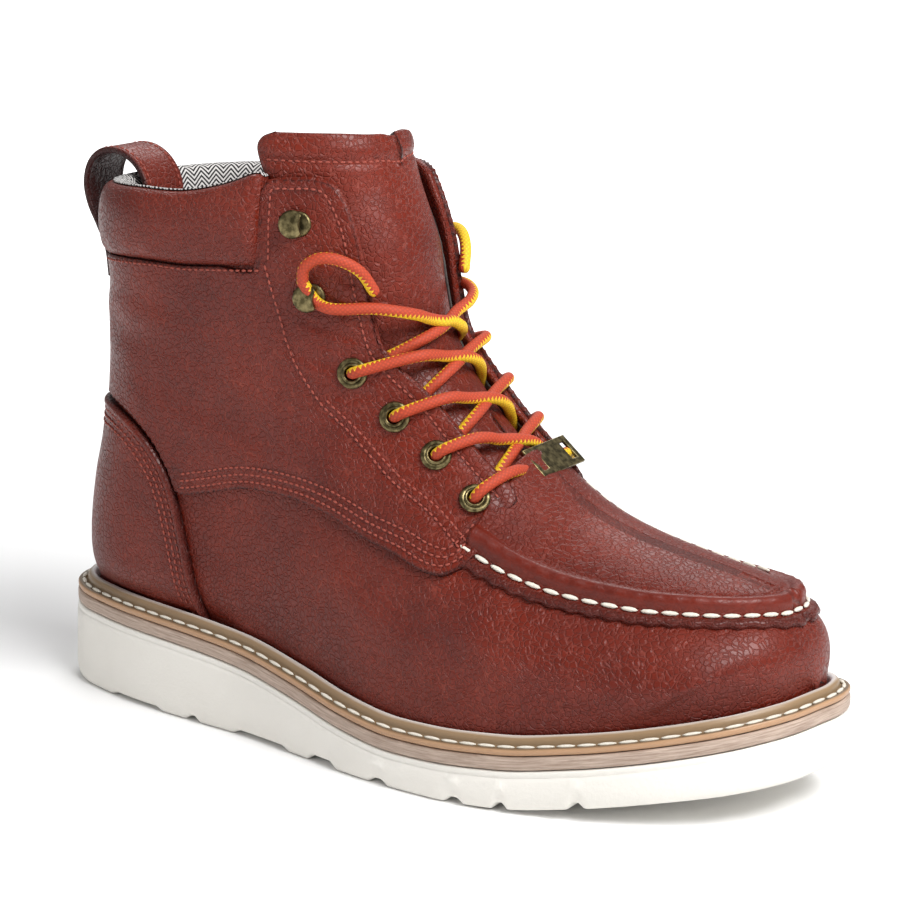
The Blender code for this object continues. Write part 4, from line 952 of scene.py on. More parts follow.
# Heel counter: a stiffened cup of leather over the heel, its edge folded into a raised rim
# and held with three rows of stitches.
COUNTER_LINES = [
    (78.5, 67.2, 76.0), (70.0, 63.5, 86.0), (60.0, 57.5, 95.4), (49.0, 48.0, 103.8),
    (38.0, 37.0, 107.8), (27.0, 28.5, 108.3), (18.0, 23.6, 108.2), (12.0, 21.6, 108.0),
]
COUNTER_ROWS = (3.6, 6.0, 8.4)
outline = smooth_path(COUNTER_LINES)
outline = along(outline, np.concatenate([crowded(100, 1.4)[:-6], [1.0]]))
end = outline[-1]
to_back = np.array([0.7, 0.42, 0.22, 0.1, 0.035, 0.006])[:, None]
centre = np.array([back_x(28 + 6) + 0.02, back_x(end[2]) + 0.02, end[2]])
outline = np.vstack([outline, centre + to_back * (end - centre)])
v = crowded(66, 1.3)[:, None]
foot_z = feather_z(outline[:, 0]) + 0.8
counter_z = foot_z + v * (outline[:, 2] - foot_z)
floor_x = 10.6 + (back_x(outline[:, 2]) - 10.6) * v
counter_x = outline[:, 0] + v * (outline[:, 1] - outline[:, 0])
near = np.maximum(0, 1 - np.maximum(counter_x - floor_x, 0) / 50) ** 2
counter_x = np.maximum(counter_x + (back_x(counter_z) - floor_x) * near, back_x(counter_z) + 0.02)
sides = np.concatenate([-np.ones(len(outline)), np.ones(len(outline))])[None, :]
counter_x = np.concatenate([counter_x, counter_x[:, ::-1]], 1)
counter_z = np.concatenate([counter_z, counter_z[:, ::-1]], 1)
base, out = skin(np.broadcast_to(sides, counter_x.shape), counter_x, counter_z)
COUNTER_EDGE = np.column_stack([outline[:, 1], outline[:, 2]])
COUNTER_EDGE = np.vstack([
    np.column_stack([counter_x[:-1, 0], counter_z[:-1, 0]]), COUNTER_EDGE])
to_edge = to_polyline(counter_x, counter_z, COUNTER_EDGE[:-1])[0]
to_edge = np.minimum(to_edge, border_distance(base))
rim = 0.9 * np.exp(-((to_edge - 1.3) / 1.3) ** 2)
high = PANEL_TOP + rim - 0.8 * np.clip(1 - to_edge / 0.8, 0, 1) ** 2
for row in COUNTER_ROWS:
    high -= 0.26 * np.exp(-((to_edge - row) / 0.8) ** 2)
counter = plate("heel_cup", base + high[..., None] * out, base - 0.4 * out, OXBLOOD,
                {"cut_edge_and_groove_shade": 0.6 * np.exp(-(to_edge / 0.6) ** 2)})
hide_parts("heel_counter")

# Backstay: a narrow strip of the same leather that covers the seam up the back, sewn down
# along both of its edges.
BACKSTAY_HALF, BACKSTAY_ROW = 9.0, 2.6
HALVINGS = 26


def behind(z, across, lift):
    """Point behind the back seam; across is measured round the heel curve."""
    z, across = np.broadcast_arrays(np.asarray(z, float), np.asarray(across, float))
    side = np.where(across < 0, -1, 1)
    low, high = back_x(z), back_x(z) + 20
    for _ in range(HALVINGS):
        x = (low + high) / 2
        narrow = half_width(side, x, z) < np.abs(across)
        low, high = np.where(narrow, x, low), np.where(narrow, high, x)
    return skin(side, high + 0.01, z, lift)


z = 109 + crowded(52, 1.5)[:, None] * 52
across = (2 * crowded(18, 1.2)[None, :] - 1) * BACKSTAY_HALF
base, out = behind(z, across, PANEL_TOP)
d = border_distance(base)
high = 1.3 - 0.8 * np.clip(1 - d / 1.0, 0, 1) ** 2 - 0.25 * np.exp(-((d - BACKSTAY_ROW) / 0.8) ** 2)
backstay = plate("back_strip", base + high[..., None] * out, base - 0.6 * out, OXBLOOD,
                 {"cut_edge_and_groove_shade": np.exp(-(d / 0.7) ** 2)})
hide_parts("backstay")

# Moc apron: the plug of the toe. Its edge is rolled up into a bead over the turned-up lip
# of the vamp, and both are sewn together by hand with thick cream thread.
APRON_OUTLINE = [
    (190.0, 37.0, 30.0), (201.0, 37.5, 31.5), (206, 37.6, 32.2), (214, 37.4, 32.6),
    (222, 36.8, 32.5), (231, 35.4, 31.8), (240, 33.7, 30.8), (249, 31.8, 29.4), (258, 29.2, 27.6),
    (266, 26.2, 25.2), (273, 22.6, 22.0), (279, 18.2, 18.0), (283.5, 13.2, 13.2),
    (286.5, 7.8, 7.8), (287.6, 3.0, 3.0),
]
# Distance in from the seam and lift of the outer face, from the lip to the middle
APRON_PROFILE = [
    (-4.9, 0.2), (-5.0, 1.2), (-4.6, 2.0), (-3.8, 2.4), (-3.0, 1.9), (-2.2, 1.2), (-1.3, 0.9),
    (-0.7, 1.5), (-0.2, 2.6), (0.4, 3.9), (1.2, 4.9), (2.2, 5.3), (3.3, 5.0), (4.1, 4.1),
    (4.6, 3.1), (5.1, 2.4), (6.4, 2.5),
]


def on_top(x, across, lift=0.0):
    """Point of the skin above this place in plan; across is from the middle line."""
    x, across = np.broadcast_arrays(np.asarray(x, float), np.asarray(across, float))
    side = np.where(across < 0, -1, 1)
    wide = np.maximum(np.abs(across), 0.25)
    above = RIDGE_PATH[(RIDGE_PATH[:, 1] >= 50) & (RIDGE_PATH[:, 1] < 112)][::-1]
    high = np.interp(x, above[:, 0], above[:, 1]) - 0.05
    low = high - 34
    for _ in range(HALVINGS):
        z = (low + high) / 2
        narrow = half_width(side, x, z) < wide
        high, low = np.where(narrow, z, high), np.where(narrow, low, z)
    return skin(side, x, low, lift, plain=True)


lateral_line = [(x, -a) for x, a, _ in APRON_OUTLINE]
medial_line = [(x, b) for x, _, b in APRON_OUTLINE]
rim_path = smooth_path(lateral_line + medial_line[::-1])
rim_path = along(rim_path, np.linspace(0, 1, 361))
tangent = np.gradient(rim_path, axis=0)
tangent /= np.linalg.norm(tangent, axis=1, keepdims=True)
inward = np.column_stack([-tangent[:, 1], tangent[:, 0]])
rim_run = run_of(rim_path)
MOC_PITCH = 6.5
pulled = np.cos(2 * math.pi * rim_run / MOC_PITCH)
rings, highs = [], []
for distance, lift in APRON_PROFILE:
    scallop = (0.28 if distance < -3 else 0.0) * pulled
    rings.append(rim_path + (distance - scallop)[:, None] * inward)
    highs.append(lift + (0.14 if -0.5 < distance < 3 else 0.0) * pulled)
last_ring = rings[-1]
spine_x = np.clip(last_ring[:, 0], None, 268.0)
TOP_RINGS = 25
for share in np.linspace(0, 1, TOP_RINGS + 1)[1:]:
    rings.append(np.column_stack([
        last_ring[:, 0] + share * (spine_x - last_ring[:, 0]),
        last_ring[:, 1] * (1 - share)]))
    highs.append(np.full(len(rim_path), 2.7 - 0.2 * share))
plan, highs = np.stack(rings, 1), np.stack(highs, 1)
base, out = on_top(plan[..., 0], plan[..., 1])
outer = base + highs[..., None] * out
inner = base - 0.3 * out
places = np.array([p[0] for p in APRON_PROFILE] + [9.0] * TOP_RINGS)
lip = np.clip((-places - 2.0) / 1.2, 0, 1)
bead = ease((places + 1.2) / 1.2) * (1 - ease((places - 4.4) / 1.4))
marks = {"cut_edge_and_groove_shade": np.broadcast_to(0.5 * lip, highs.shape),
         "stretched": np.broadcast_to(bead, highs.shape)}
apron = plate("toe_apron", outer, inner, OXBLOOD, marks)
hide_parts("moc_apron")
# The seam outside the bead, and its other side where it shows inside the far bead
seam = rim_path - 1.35 * inward
inner_seam = (rim_path + 5.0 * inward)[236:]
moc_lines = [on_top(seam[:, 0], seam[:, 1], 1.6), on_top(inner_seam[:, 0], inner_seam[:, 1], 3.7)]
moc_stitches = sewn("apron_stitches", moc_lines, CREAM_THREAD, MOC_PITCH, 6.0, 1.7, 1.5)

# Collar: a foam-filled cuff of the same leather, rolled over the top of the shaft and
# pinched where it is sewn down. Its shape is modelled soft and slightly puckered.
CUFF_SEAM = [(23.9, 161.2), (40, 163.6), (60, 165.2), (75, 165.2), (90, 166.4), (106, 167.6)]
CUFF_TOP = [(23.4, 183.0), (40, 184.2), (54, 185.0), (74, 185.6), (92, 189.5), (107, 195.4)]
# Share of the height from seam to edge, lift from the skin, extra height
CUFF_PROFILE = [
    (-0.03, 1.2, 0.0), (0.0, 2.2, 0.0), (0.08, 3.6, 0.0), (0.22, 4.8, 0.0), (0.45, 5.5, 0.0),
    (0.7, 5.3, 0.0), (0.9, 4.4, 0.6), (1.0, 2.6, 2.2), (1.0, 0.2, 3.5), (1.0, -2.4, 3.4),
    (1.0, -4.6, 2.0), (0.85, -6.0, 0.4), (0.6, -6.6, 0.0), (0.25, -6.2, 0.0), (0.0, -4.4, 0.0),
    (-0.03, -2.0, 0.0),
]
profile = smooth_path(CUFF_PROFILE, closed=True, per_span=4)[:-1]
share = np.linspace(0, 1, 90) ** 1.8
seam_line, top_line = along(smooth_path(CUFF_SEAM), share), along(smooth_path(CUFF_TOP), share)


def cuff_places(heights):
    """Side, x and z for each height share, from the lateral front round the back."""
    x = seam_line[:, 0] + heights[:, None] * (top_line[:, 0] - seam_line[:, 0])
    z = seam_line[:, 1] + heights[:, None] * (top_line[:, 1] - seam_line[:, 1])
    x = np.where(share == 0, back_x(z) + 0.02, x)
    side = np.concatenate([-np.ones(len(share)), np.ones(len(share) - 1)])
    fold = lambda grid: np.concatenate([grid[:, ::-1], grid[:, 1:]], 1)
    return np.broadcast_to(side, fold(x).shape), fold(x), fold(z)


side, x, z = cuff_places(profile[:, 0])
base, out = skin(side, x, z, plain=True)
run = run_of(base[5])
pucker = (np.sin(run / 2.9) + np.sin(run / 1.7 + 1.3) + np.sin(run / 5.3 + 0.4)) / 3
near_seam = np.exp(-(((profile[:, 0] - 0.12) / 0.16) ** 2)) * (profile[:, 1] > 0)
swell = 1 + 0.10 * np.sin(run / 21.0)
close = np.minimum(1, (run[-1] - np.abs(2 * run - run[-1])) / 2 / 4.0) ** 0.5
high = profile[:, 1, None] * np.where(profile[:, 1, None] > 0, swell * (0.45 + 0.55 * close), 1.0)
high = high + 0.4 * near_seam[:, None] * pucker
cuff = base + high[..., None] * out
cuff[..., 2] += profile[:, 2, None] * (0.3 + 0.7 * close)
rows, cols = cuff.shape[:2]
quads = grid_quads(rows, cols, wrap_rows=True)
caps = [[i * cols for i in range(rows)], [i * cols + cols - 1 for i in range(rows)]]
ends = np.stack([cuff[:, 0].mean(0), cuff[:, -1].mean(0)])
points = np.vstack([cuff.reshape(-1, 3), ends])
fans = [(cap[i], cap[(i + 1) % rows], rows * cols + k, rows * cols + k)
        for k, cap in enumerate(caps) for i in range(rows)]
collar = piece("padded_collar", points, np.vstack([quads, fans]), OXBLOOD)
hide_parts("collar")

# Collar lining: black and white herringbone twill, glued over the inside of the cuff and
# down into the shaft. Its bands are about 3 mm wide.
def herringbone_twill():
    """Cotton twill woven in black and white zigzags: matt, the yarns barely raised."""
    look, tree, shader = new_material("herringbone_twill")
    split = add(tree, "ShaderNodeSeparateXYZ",
                Vector=add(tree, "ShaderNodeUVMap", {"uv_map": "UVMap"}).outputs[0])
    zigzag = add(tree, "ShaderNodeMath", {"operation": "PINGPONG"},
                 in_0=split.outputs["X"], in_1=3.1)
    climb = add(tree, "ShaderNodeMath", {"operation": "ADD"},
                in_0=split.outputs["Y"], in_1=zigzag.outputs[0])
    twill = add(tree, "ShaderNodeMath", {"operation": "PINGPONG"}, in_0=climb.outputs[0], in_1=0.85)
    stripe = add(tree, "ShaderNodeMapRange", {"interpolation_type": "SMOOTHSTEP"},
                 Value=twill.outputs[0], From_Min=0.34, From_Max=0.52)
    tone = add(tree, "ShaderNodeMixRGB", Fac=stripe.outputs[0],
               Color1=linear("#1f1d20"), Color2=linear("#d6d3d0"))
    tree.links.new(tone.outputs[0], shader.inputs["Base Color"])
    bump = add(tree, "ShaderNodeBump", Strength=0.4, Distance=0.0002, Height=twill.outputs[0])
    tree.links.new(bump.outputs[0], shader.inputs["Normal"])
    shader.inputs["Roughness"].default_value = 0.9
    return look


TWILL_PROFILE = smooth_path([
    (1.0, -0.6, 4.0), (1.0, -2.6, 3.8), (1.0, -4.9, 2.5), (0.85, -6.5, 0.5), (0.6, -7.1, 0.0),
    (0.25, -6.7, 0.0), (0.0, -5.2, 0.0), (-0.25, -3.9, 0.0), (-0.7, -3.6, 0.0), (-1.6, -3.6, 0.0),
], per_span=5)
side, x, z = cuff_places(TWILL_PROFILE[:, 0])
base, out = skin(side, x, z, plain=True)
twill = base + TWILL_PROFILE[:, 1, None, None] * out
twill[..., 2] += TWILL_PROFILE[:, 2, None] * (0.3 + 0.7 * close)
rows, cols = twill.shape[:2]
drop = run_of(twill[:, cols // 4])
twill_uv = np.stack(np.broadcast_arrays(run[None, :], -drop[:, None]), -1).reshape(-1, 2)
collar_lining = piece("collar_lining", twill.reshape(-1, 3), grid_quads(rows, cols),
                      herringbone_twill(), twill_uv)
solid(collar_lining, -0.4)

# Tongue: padded leather, wrapped round the instep under the laces. A hem is folded over at
# its top and sewn down. Foam fills it, so its shape is modelled crowned and soft.
TONGUE_LINES = [
    (91.0, 19, 19, 3.0), (98, 22, 22, 3.6), (108, 28, 28, 4.2), (120, 34, 34, 4.6),
    (134, 40, 40, 5.0), (148, 43, 43, 5.0), (160, 46, 45, 5.0), (172, 49, 45, 5.0),
    (183, 52, 43, 5.0), (192, 55, 40, 5.0), (200, 57, 35, 5.0), (206, 57, 28, 4.6),
    (209.5, 54, 19, 3.8), (211.3, 49, 10, 2.6),
]
TONGUE_HEM = 202.0


def ridge_at(z):
    above = RIDGE_PATH[RIDGE_PATH[:, 1] >= 60]
    return np.interp(z, above[:, 1], above[:, 0])


def round_front(z, runs):
    """Points of the skin found by following its section round from the front line."""
    level = ease((z - 130) / 45)
    aim = np.array([-2.0, (ridge_at(z + 1) - ridge_at(z - 1)) * (1 - level)])
    aim /= np.linalg.norm(aim)
    side = np.where(runs < 0, -1, 1)
    depths = np.linspace(0.02, 60, 160)
    places = np.empty(len(runs))
    for s in (-1, 1):
        widths = half_width(s, ridge_at(z) + depths * aim[0], z + depths * aim[1])
        length = np.concatenate([[0], np.cumsum(np.hypot(np.diff(depths), np.diff(widths)))])
        here = side == s
        places[here] = np.interp(np.maximum(np.abs(runs[here]) - widths[0], 0), length, depths)
    return side, ridge_at(z) + places * aim[0], z + places * aim[1]


lines = smooth_path(TONGUE_LINES, per_span=6)
across = np.sin(np.linspace(-1, 1, 61) * math.pi / 2)
across = 0.5 * across + 0.5 * np.linspace(-1, 1, 61)
places = [round_front(z, np.where(across < 0, across * lateral, across * medial))
          for z, lateral, medial, _ in lines]
side, x, z = (np.stack([p[k] for p in places]) for k in range(3))
base, out = skin(side, x, z, plain=True)
smoothed = out.copy()
for _ in range(3):
    smoothed[:, 1:-1] = (smoothed[:, :-2] + smoothed[:, 1:-1] + smoothed[:, 2:]) / 3
out = smoothed / np.linalg.norm(smoothed, axis=-1, keepdims=True)
level = lines[:, 0, None] + 0 * across
edge = np.clip((1 - np.abs(across)) / 0.13, 0, 1)
roll = np.sqrt(1 - (1 - edge) ** 2)
crown = 0.9 * roll[None, :] * ease((level - 96) / 10)
crown = crown - 0.8 * np.exp(-(((level - TONGUE_HEM) / 1.1) ** 2)) * roll
crown = crown + 0.7 * np.exp(-(((level - 206) / 3.2) ** 2)) * roll
under = -4.1 - 0.08 * np.maximum(0, 102 - level)
top_end = np.clip((TONGUE_LINES[-1][0] - level) / 1.6, 0, 1)
cap = np.sqrt(1 - (1 - top_end) ** 2)
thick = lines[:, 3, None] * (0.28 + 0.72 * roll) * (0.35 + 0.65 * cap)
outer = base + (under + crown - 1.6 * (1 - roll) - 0.8 * (1 - cap))[..., None] * out
inner = base + (under - thick)[..., None] * out
tongue = plate("padded_tongue", outer, inner, OXBLOOD, {"cut_edge_and_groove_shade": 0.0 * level})
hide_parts("tongue")
hem = int(np.argmin(np.abs(lines[:, 0] - TONGUE_HEM)))
TONGUE_SEAM = (outer[hem, 4:-4] + 0.05 * out[hem, 4:-4], out[hem, 4:-4])

# Pull loop: a doubled strip of leather, from the back of the shaft over the collar and down
# inside it, sewn along both edges.
LOOP_LINE = [
    (17.8, 150.0), (16.4, 160.0), (12.6, 168.0), (8.4, 176.0), (7.0, 183.5), (9.2, 190.6),
    (14.6, 194.9), (22.4, 195.4), (29.6, 191.8), (34.2, 185.0), (35.2, 176.0), (35.2, 168.0),
]
LOOP_HALF, LOOP_THICK, LOOP_ROW = 10.5, 2.4, 2.4
path = along(smooth_path(LOOP_LINE), np.linspace(0, 1, 90))
tangent = np.gradient(path, axis=0)
tangent /= np.linalg.norm(tangent, axis=1, keepdims=True)
away = np.column_stack([-tangent[:, 1], tangent[:, 0]])
wide = (2 * crowded(2 * LOOP_HALF, 1.1) - 1) * LOOP_HALF
d = LOOP_HALF - np.abs(wide)
crown = 1 - 0.55 * np.clip(1 - d / 1.0, 0, 1) ** 2
crown = crown - 0.22 * np.exp(-(((d - LOOP_ROW) / 0.7) ** 2))
grids = []
for sign in (0.5, -0.5):
    flat = path[:, None] + sign * LOOP_THICK * crown[None, :, None] * away[:, None]
    grids.append(np.stack([flat[..., 0], np.broadcast_to(wide, flat.shape[:2]), flat[..., 1]], -1))
loop_cut = np.broadcast_to(np.exp(-(d / 0.6) ** 2), grids[0].shape[:2])
loop = plate("pull_strap", grids[0], grids[1], OXBLOOD, {"cut_edge_and_groove_shade": loop_cut})
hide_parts("pull_loop")

# Panel stitches: brick-red lockstitch, 2.5 mm apart, sunk into grooves along every seam of
# the panels, the tongue's hem, the back strip and the pull loop.
RED_THREAD = thread("brick_red_thread", "#a4503f", "#7d332a", 2.2)


def beside(path, distance):
    """The same line in side view, moved sideways, without the loops this makes."""
    path = along(path, np.linspace(0, 1, 160))
    step = np.gradient(path, axis=0)
    step /= np.linalg.norm(step, axis=1, keepdims=True)
    moved = path + distance * np.column_stack([-step[:, 1], step[:, 0]])
    far = to_polyline(moved[:, 0], moved[:, 1], path)[0]
    return moved[far > abs(distance) * 0.97]


seams = []
for side in (-1, 1):
    for row in STITCH_ROWS:
        line = beside(lower_edge, row)
        keep = (line[:, 0] > 70) & (line[:, 0] < 190)
        seams.append((side, line[keep], PANEL_TOP - 0.12))
    flap = beside(upper_edge, -FACING_ROW)
    seams.append((side, flap[flap[:, 0] < 192], PANEL_TOP - 0.12))
    seams.append((side, FLAP_SEAM, PANEL_TOP - 0.12))
    seams.append((side, beside(FLAP_SEAM[FLAP_SEAM[:, 0] > 130], 2.4), PANEL_TOP - 0.05))
    edge = COUNTER_EDGE[:-8]
    for row in COUNTER_ROWS:
        line = beside(edge, row)
        keep = (line[:, 0] > 24) & (line[:, 1] > 42)
        seams.append((side, line[keep], PANEL_TOP - 0.05))
    shaft_seam = smooth_path(CUFF_SEAM) - (0, 2.4)
    seams.append((side, shaft_seam[shaft_seam[:, 0] > 32], PANEL_TOP + 0.05))
sewn_lines = [TONGUE_SEAM]
for side, line, lift in seams:
    sewn_lines.append(skin(side, line[:, 0], line[:, 1], lift))
for sign in (-1, 1):
    row = np.full(60, sign * (BACKSTAY_HALF - BACKSTAY_ROW))
    sewn_lines.append(behind(np.linspace(111, 158, 60), row, PANEL_TOP + 1.15))
for sign in (-1, 1):
    row = np.full(len(path), sign * (LOOP_HALF - LOOP_ROW))
    edge = np.column_stack([path[:, 0], row, path[:, 1]])
    off = np.column_stack([away[:, 0], np.zeros(len(path)), away[:, 1]])
    sewn_lines.append((edge + 1.05 * off, off))
panel_stitches = sewn("panel_stitches", sewn_lines, RED_THREAD, 2.5, 1.9, 0.85, 0.75)

# Eyelets: rolled rings of aged brass, pressed through the quarter, four on each side. Each
# is a flat flange with a bright rolled lip round a barrel; the barrel, closed across the hole,
# is near-black brass, painted shade for the inside of the hole.
EYELETS = [(139.3, 132.2), (154.6, 118.2), (170.2, 106.2), (186.2, 93.4)]
HOOKS = [(119.0, 181.6), (124.6, 157.8)]


def aged_brass(name, base, worn):
    """Antique-finished brass: brown patina, brighter where it is rubbed, soft gloss."""
    look, tree, shader = new_material(name)
    place = in_mm(tree)
    cloud = add(tree, "ShaderNodeTexNoise", Vector=place, Scale=0.5, Detail=4.0)
    grain = add(tree, "ShaderNodeTexNoise", Vector=place, Scale=3.0, Detail=2.0)
    rub = add(tree, "ShaderNodeMapRange", Value=cloud.outputs["Fac"],
              From_Min=0.4, From_Max=0.65).outputs[0]
    tone = add(tree, "ShaderNodeMixRGB", Fac=rub, Color1=linear(base), Color2=linear(worn))
    tree.links.new(tone.outputs[0], shader.inputs["Base Color"])
    rough = add(tree, "ShaderNodeMapRange", Value=grain.outputs["Fac"], To_Min=0.28, To_Max=0.5)
    tree.links.new(rough.outputs[0], shader.inputs["Roughness"])
    shader.inputs["Metallic"].default_value = 1.0
    return look


BRASS = aged_brass("aged_brass", "#4e462f", "#8c7f5a")
# Painted shade: near-black brass for the barrel and the disc that closes each eyelet's hole,
# standing for the shade inside it
EYELET_HOLE_SHADE = aged_brass("eyelet_hole_painted_shade", "#1a1611", "#2a241b")


def eyelet_rule():
    """Geometry Nodes: a rolled ring with its barrel on each point of the input."""
    tree, sockets = new_rule("eyelets", "Flange radius", "Hole radius")
    given = add(tree, "NodeGroupInput").outputs
    middle = add(tree, "ShaderNodeMath", in_0=given["Flange radius"], in_1=given["Hole radius"])
    middle = add(tree, "ShaderNodeMath", {"operation": "MULTIPLY"},
                 in_0=middle.outputs[0], in_1=0.5)
    half = add(tree, "ShaderNodeMath", {"operation": "SUBTRACT"},
               in_0=given["Flange radius"], in_1=given["Hole radius"])
    half = add(tree, "ShaderNodeMath", {"operation": "MULTIPLY"}, in_0=half.outputs[0], in_1=0.5)
    rings = []
    for radius, thick, squash, rise in ((middle.outputs[0], half.outputs[0], 0.62, 0.3),
                                        (given["Hole radius"], 0.00062, 1.0, 0.95)):
        path = add(tree, "GeometryNodeCurvePrimitiveCircle", Resolution=32, Radius=radius)
        section = add(tree, "GeometryNodeCurvePrimitiveCircle", Resolution=10, Radius=thick)
        ring = add(tree, "GeometryNodeCurveToMesh", in_0=path.outputs[0], in_1=section.outputs[0])
        flat = add(tree, "GeometryNodeTransform", Geometry=ring.outputs[0],
                   Scale=(1, 1, squash), Translation=(0, 0, rise * MM))
        rings.append(add(tree, "GeometryNodeSetMaterial", Geometry=flat.outputs[0], Material=BRASS))
    # The barrel is a capped cylinder in the painted-shade brass, so the hole shows dark
    barrel = add(tree, "GeometryNodeMeshCylinder", Vertices=24, Radius=given["Hole radius"],
                 Depth=0.0012)
    barrel = add(tree, "GeometryNodeTransform", Geometry=barrel.outputs[0],
                 Translation=(0, 0, -0.0004))
    barrel = add(tree, "GeometryNodeSetMaterial", Geometry=barrel.outputs[0], Material=EYELET_HOLE_SHADE)
    whole = add(tree, "GeometryNodeJoinGeometry")
    for part in (*rings, barrel):
        tree.links.new(part.outputs[0], whole.inputs[0])
    aim = add(tree, "FunctionNodeAxesToRotation",
              in_0=add(tree, "GeometryNodeInputNamedAttribute", {"data_type": "FLOAT_VECTOR"},
                       Name="out").outputs[0], in_1=(1, 0, 0))
    aim.primary_axis, aim.secondary_axis = "Z", "X"
    points = add(tree, "GeometryNodeMeshToPoints", in_0=given["Geometry"])
    copies = add(tree, "GeometryNodeInstanceOnPoints", Points=points.outputs[0],
                 Instance=whole.outputs[0], Rotation=aim.outputs[0])
    real = add(tree, "GeometryNodeRealizeInstances", in_0=copies.outputs[0])
    soft = add(tree, "GeometryNodeSetShadeSmooth", in_0=real.outputs[0])
    result = add(tree, "NodeGroupOutput")
    tree.links.new(soft.outputs[0], result.inputs[0])
    return tree, sockets


spots = [(side, x, z) for side in (-1, 1) for x, z in EYELETS]
seats, seat_out = skin(*np.array(spots).T, PANEL_TOP + 0.2)
eyelets = follow_rule("brass_eyelets", placed(seats), seat_out, [], eyelet_rule(), (5.3, 3.0))
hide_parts(*[f"eyelet_{s}_{n}" for s in ("lateral", "medial") for n in (1, 2, 3, 4)])

# Speed hooks: a small brass plate riveted to the quarter and bent back over itself to a
# domed cap, with its mouth open to the front for the lace.
# Radius and height of the cap, which is cut off straight in front
HOOK_CAP = [
    (0.0, 5.2), (1.6, 5.15), (3.0, 4.95), (4.2, 4.6), (4.7, 4.2), (4.85, 3.7), (4.75, 3.3),
    (4.3, 3.3), (3.0, 3.5),
]
HOOK_FRONT, NO_FRONT = 3.4, 9.0
HOOK_BASE = [(0.0, 1.0), (3.6, 1.0), (4.2, 0.8), (4.4, 0.0)]
BASE_FORWARD = 1.3
# The bend at the back that joins the plate to the cap: its outline, and its two heights
HOOK_NECK = [(-4.4, -2.6), (-4.7, 0), (-4.4, 2.6), (-3.2, 2.4), (-3.4, 0), (-3.2, -2.4)]
NECK_HEIGHTS = (0.4, 3.9)
points, quads = [], []
for side in (-1, 1):
    for x, z in HOOKS:
        here, out = (v[0] for v in skin(side, [x], [z], PANEL_TOP))
        ahead = skin(side, [x + 1], [z], 0)[0][0] - skin(side, [x - 1], [z], 0)[0][0]
        ahead -= out * (ahead @ out)
        ahead /= np.linalg.norm(ahead)
        up = np.cross(out, ahead)
        turn = np.linspace(0, 2 * math.pi, 40, endpoint=False)
        for rings, front, shift in ((HOOK_CAP, HOOK_FRONT, 0.0),
                                    (HOOK_BASE, NO_FRONT, BASE_FORWARD)):
            first = len(points)
            for radius, height in rings:
                for t in turn:
                    f, w = radius * math.cos(t), radius * math.sin(t)
                    dip = 0.55 * math.exp(-((w / 2.2) ** 2))
                    lip = 0.6 * max(0.0, f - front + 1.6) if f > front - 1.6 and height > 3 else 0.0
                    f = min(f, front - (dip if front < NO_FRONT else 0.0)) + shift
                    points.append(here + f * ahead + w * up + (height + lip) * out)
            quads.append(grid_quads(len(rings), 40, wrap_cols=True, start=first))
        first = len(points)
        points += [here + f * ahead + w * up + height * out
                   for height in NECK_HEIGHTS for f, w in HOOK_NECK]
        quads.append(grid_quads(2, 6, wrap_cols=True, start=first))
hooks = piece("speed_hooks", points, np.vstack(quads), BRASS)
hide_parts(*[f"hook_{s}_{n}" for s in ("lateral", "medial") for n in (1, 2)])

# Lace: one round braid 4 mm thick, half yellow and half rust. It zigzags through the
# eyelets, round the lower hooks, and its ends curl up and tuck behind the quarters.
LACE_RADIUS, LACE_SIDES = 2.0, 20
BRAID_TURN = 0.19  # how far the braid is turned, so that both yarns show
# Eyelets or hook on the outer and on the inner side that each crossing joins, top to bottom
BARS = [(4, 4), (3, 4), (4, 3), (2, 3), (3, 2), (1, 2), (2, 1), (0, 1), (1, 0)]


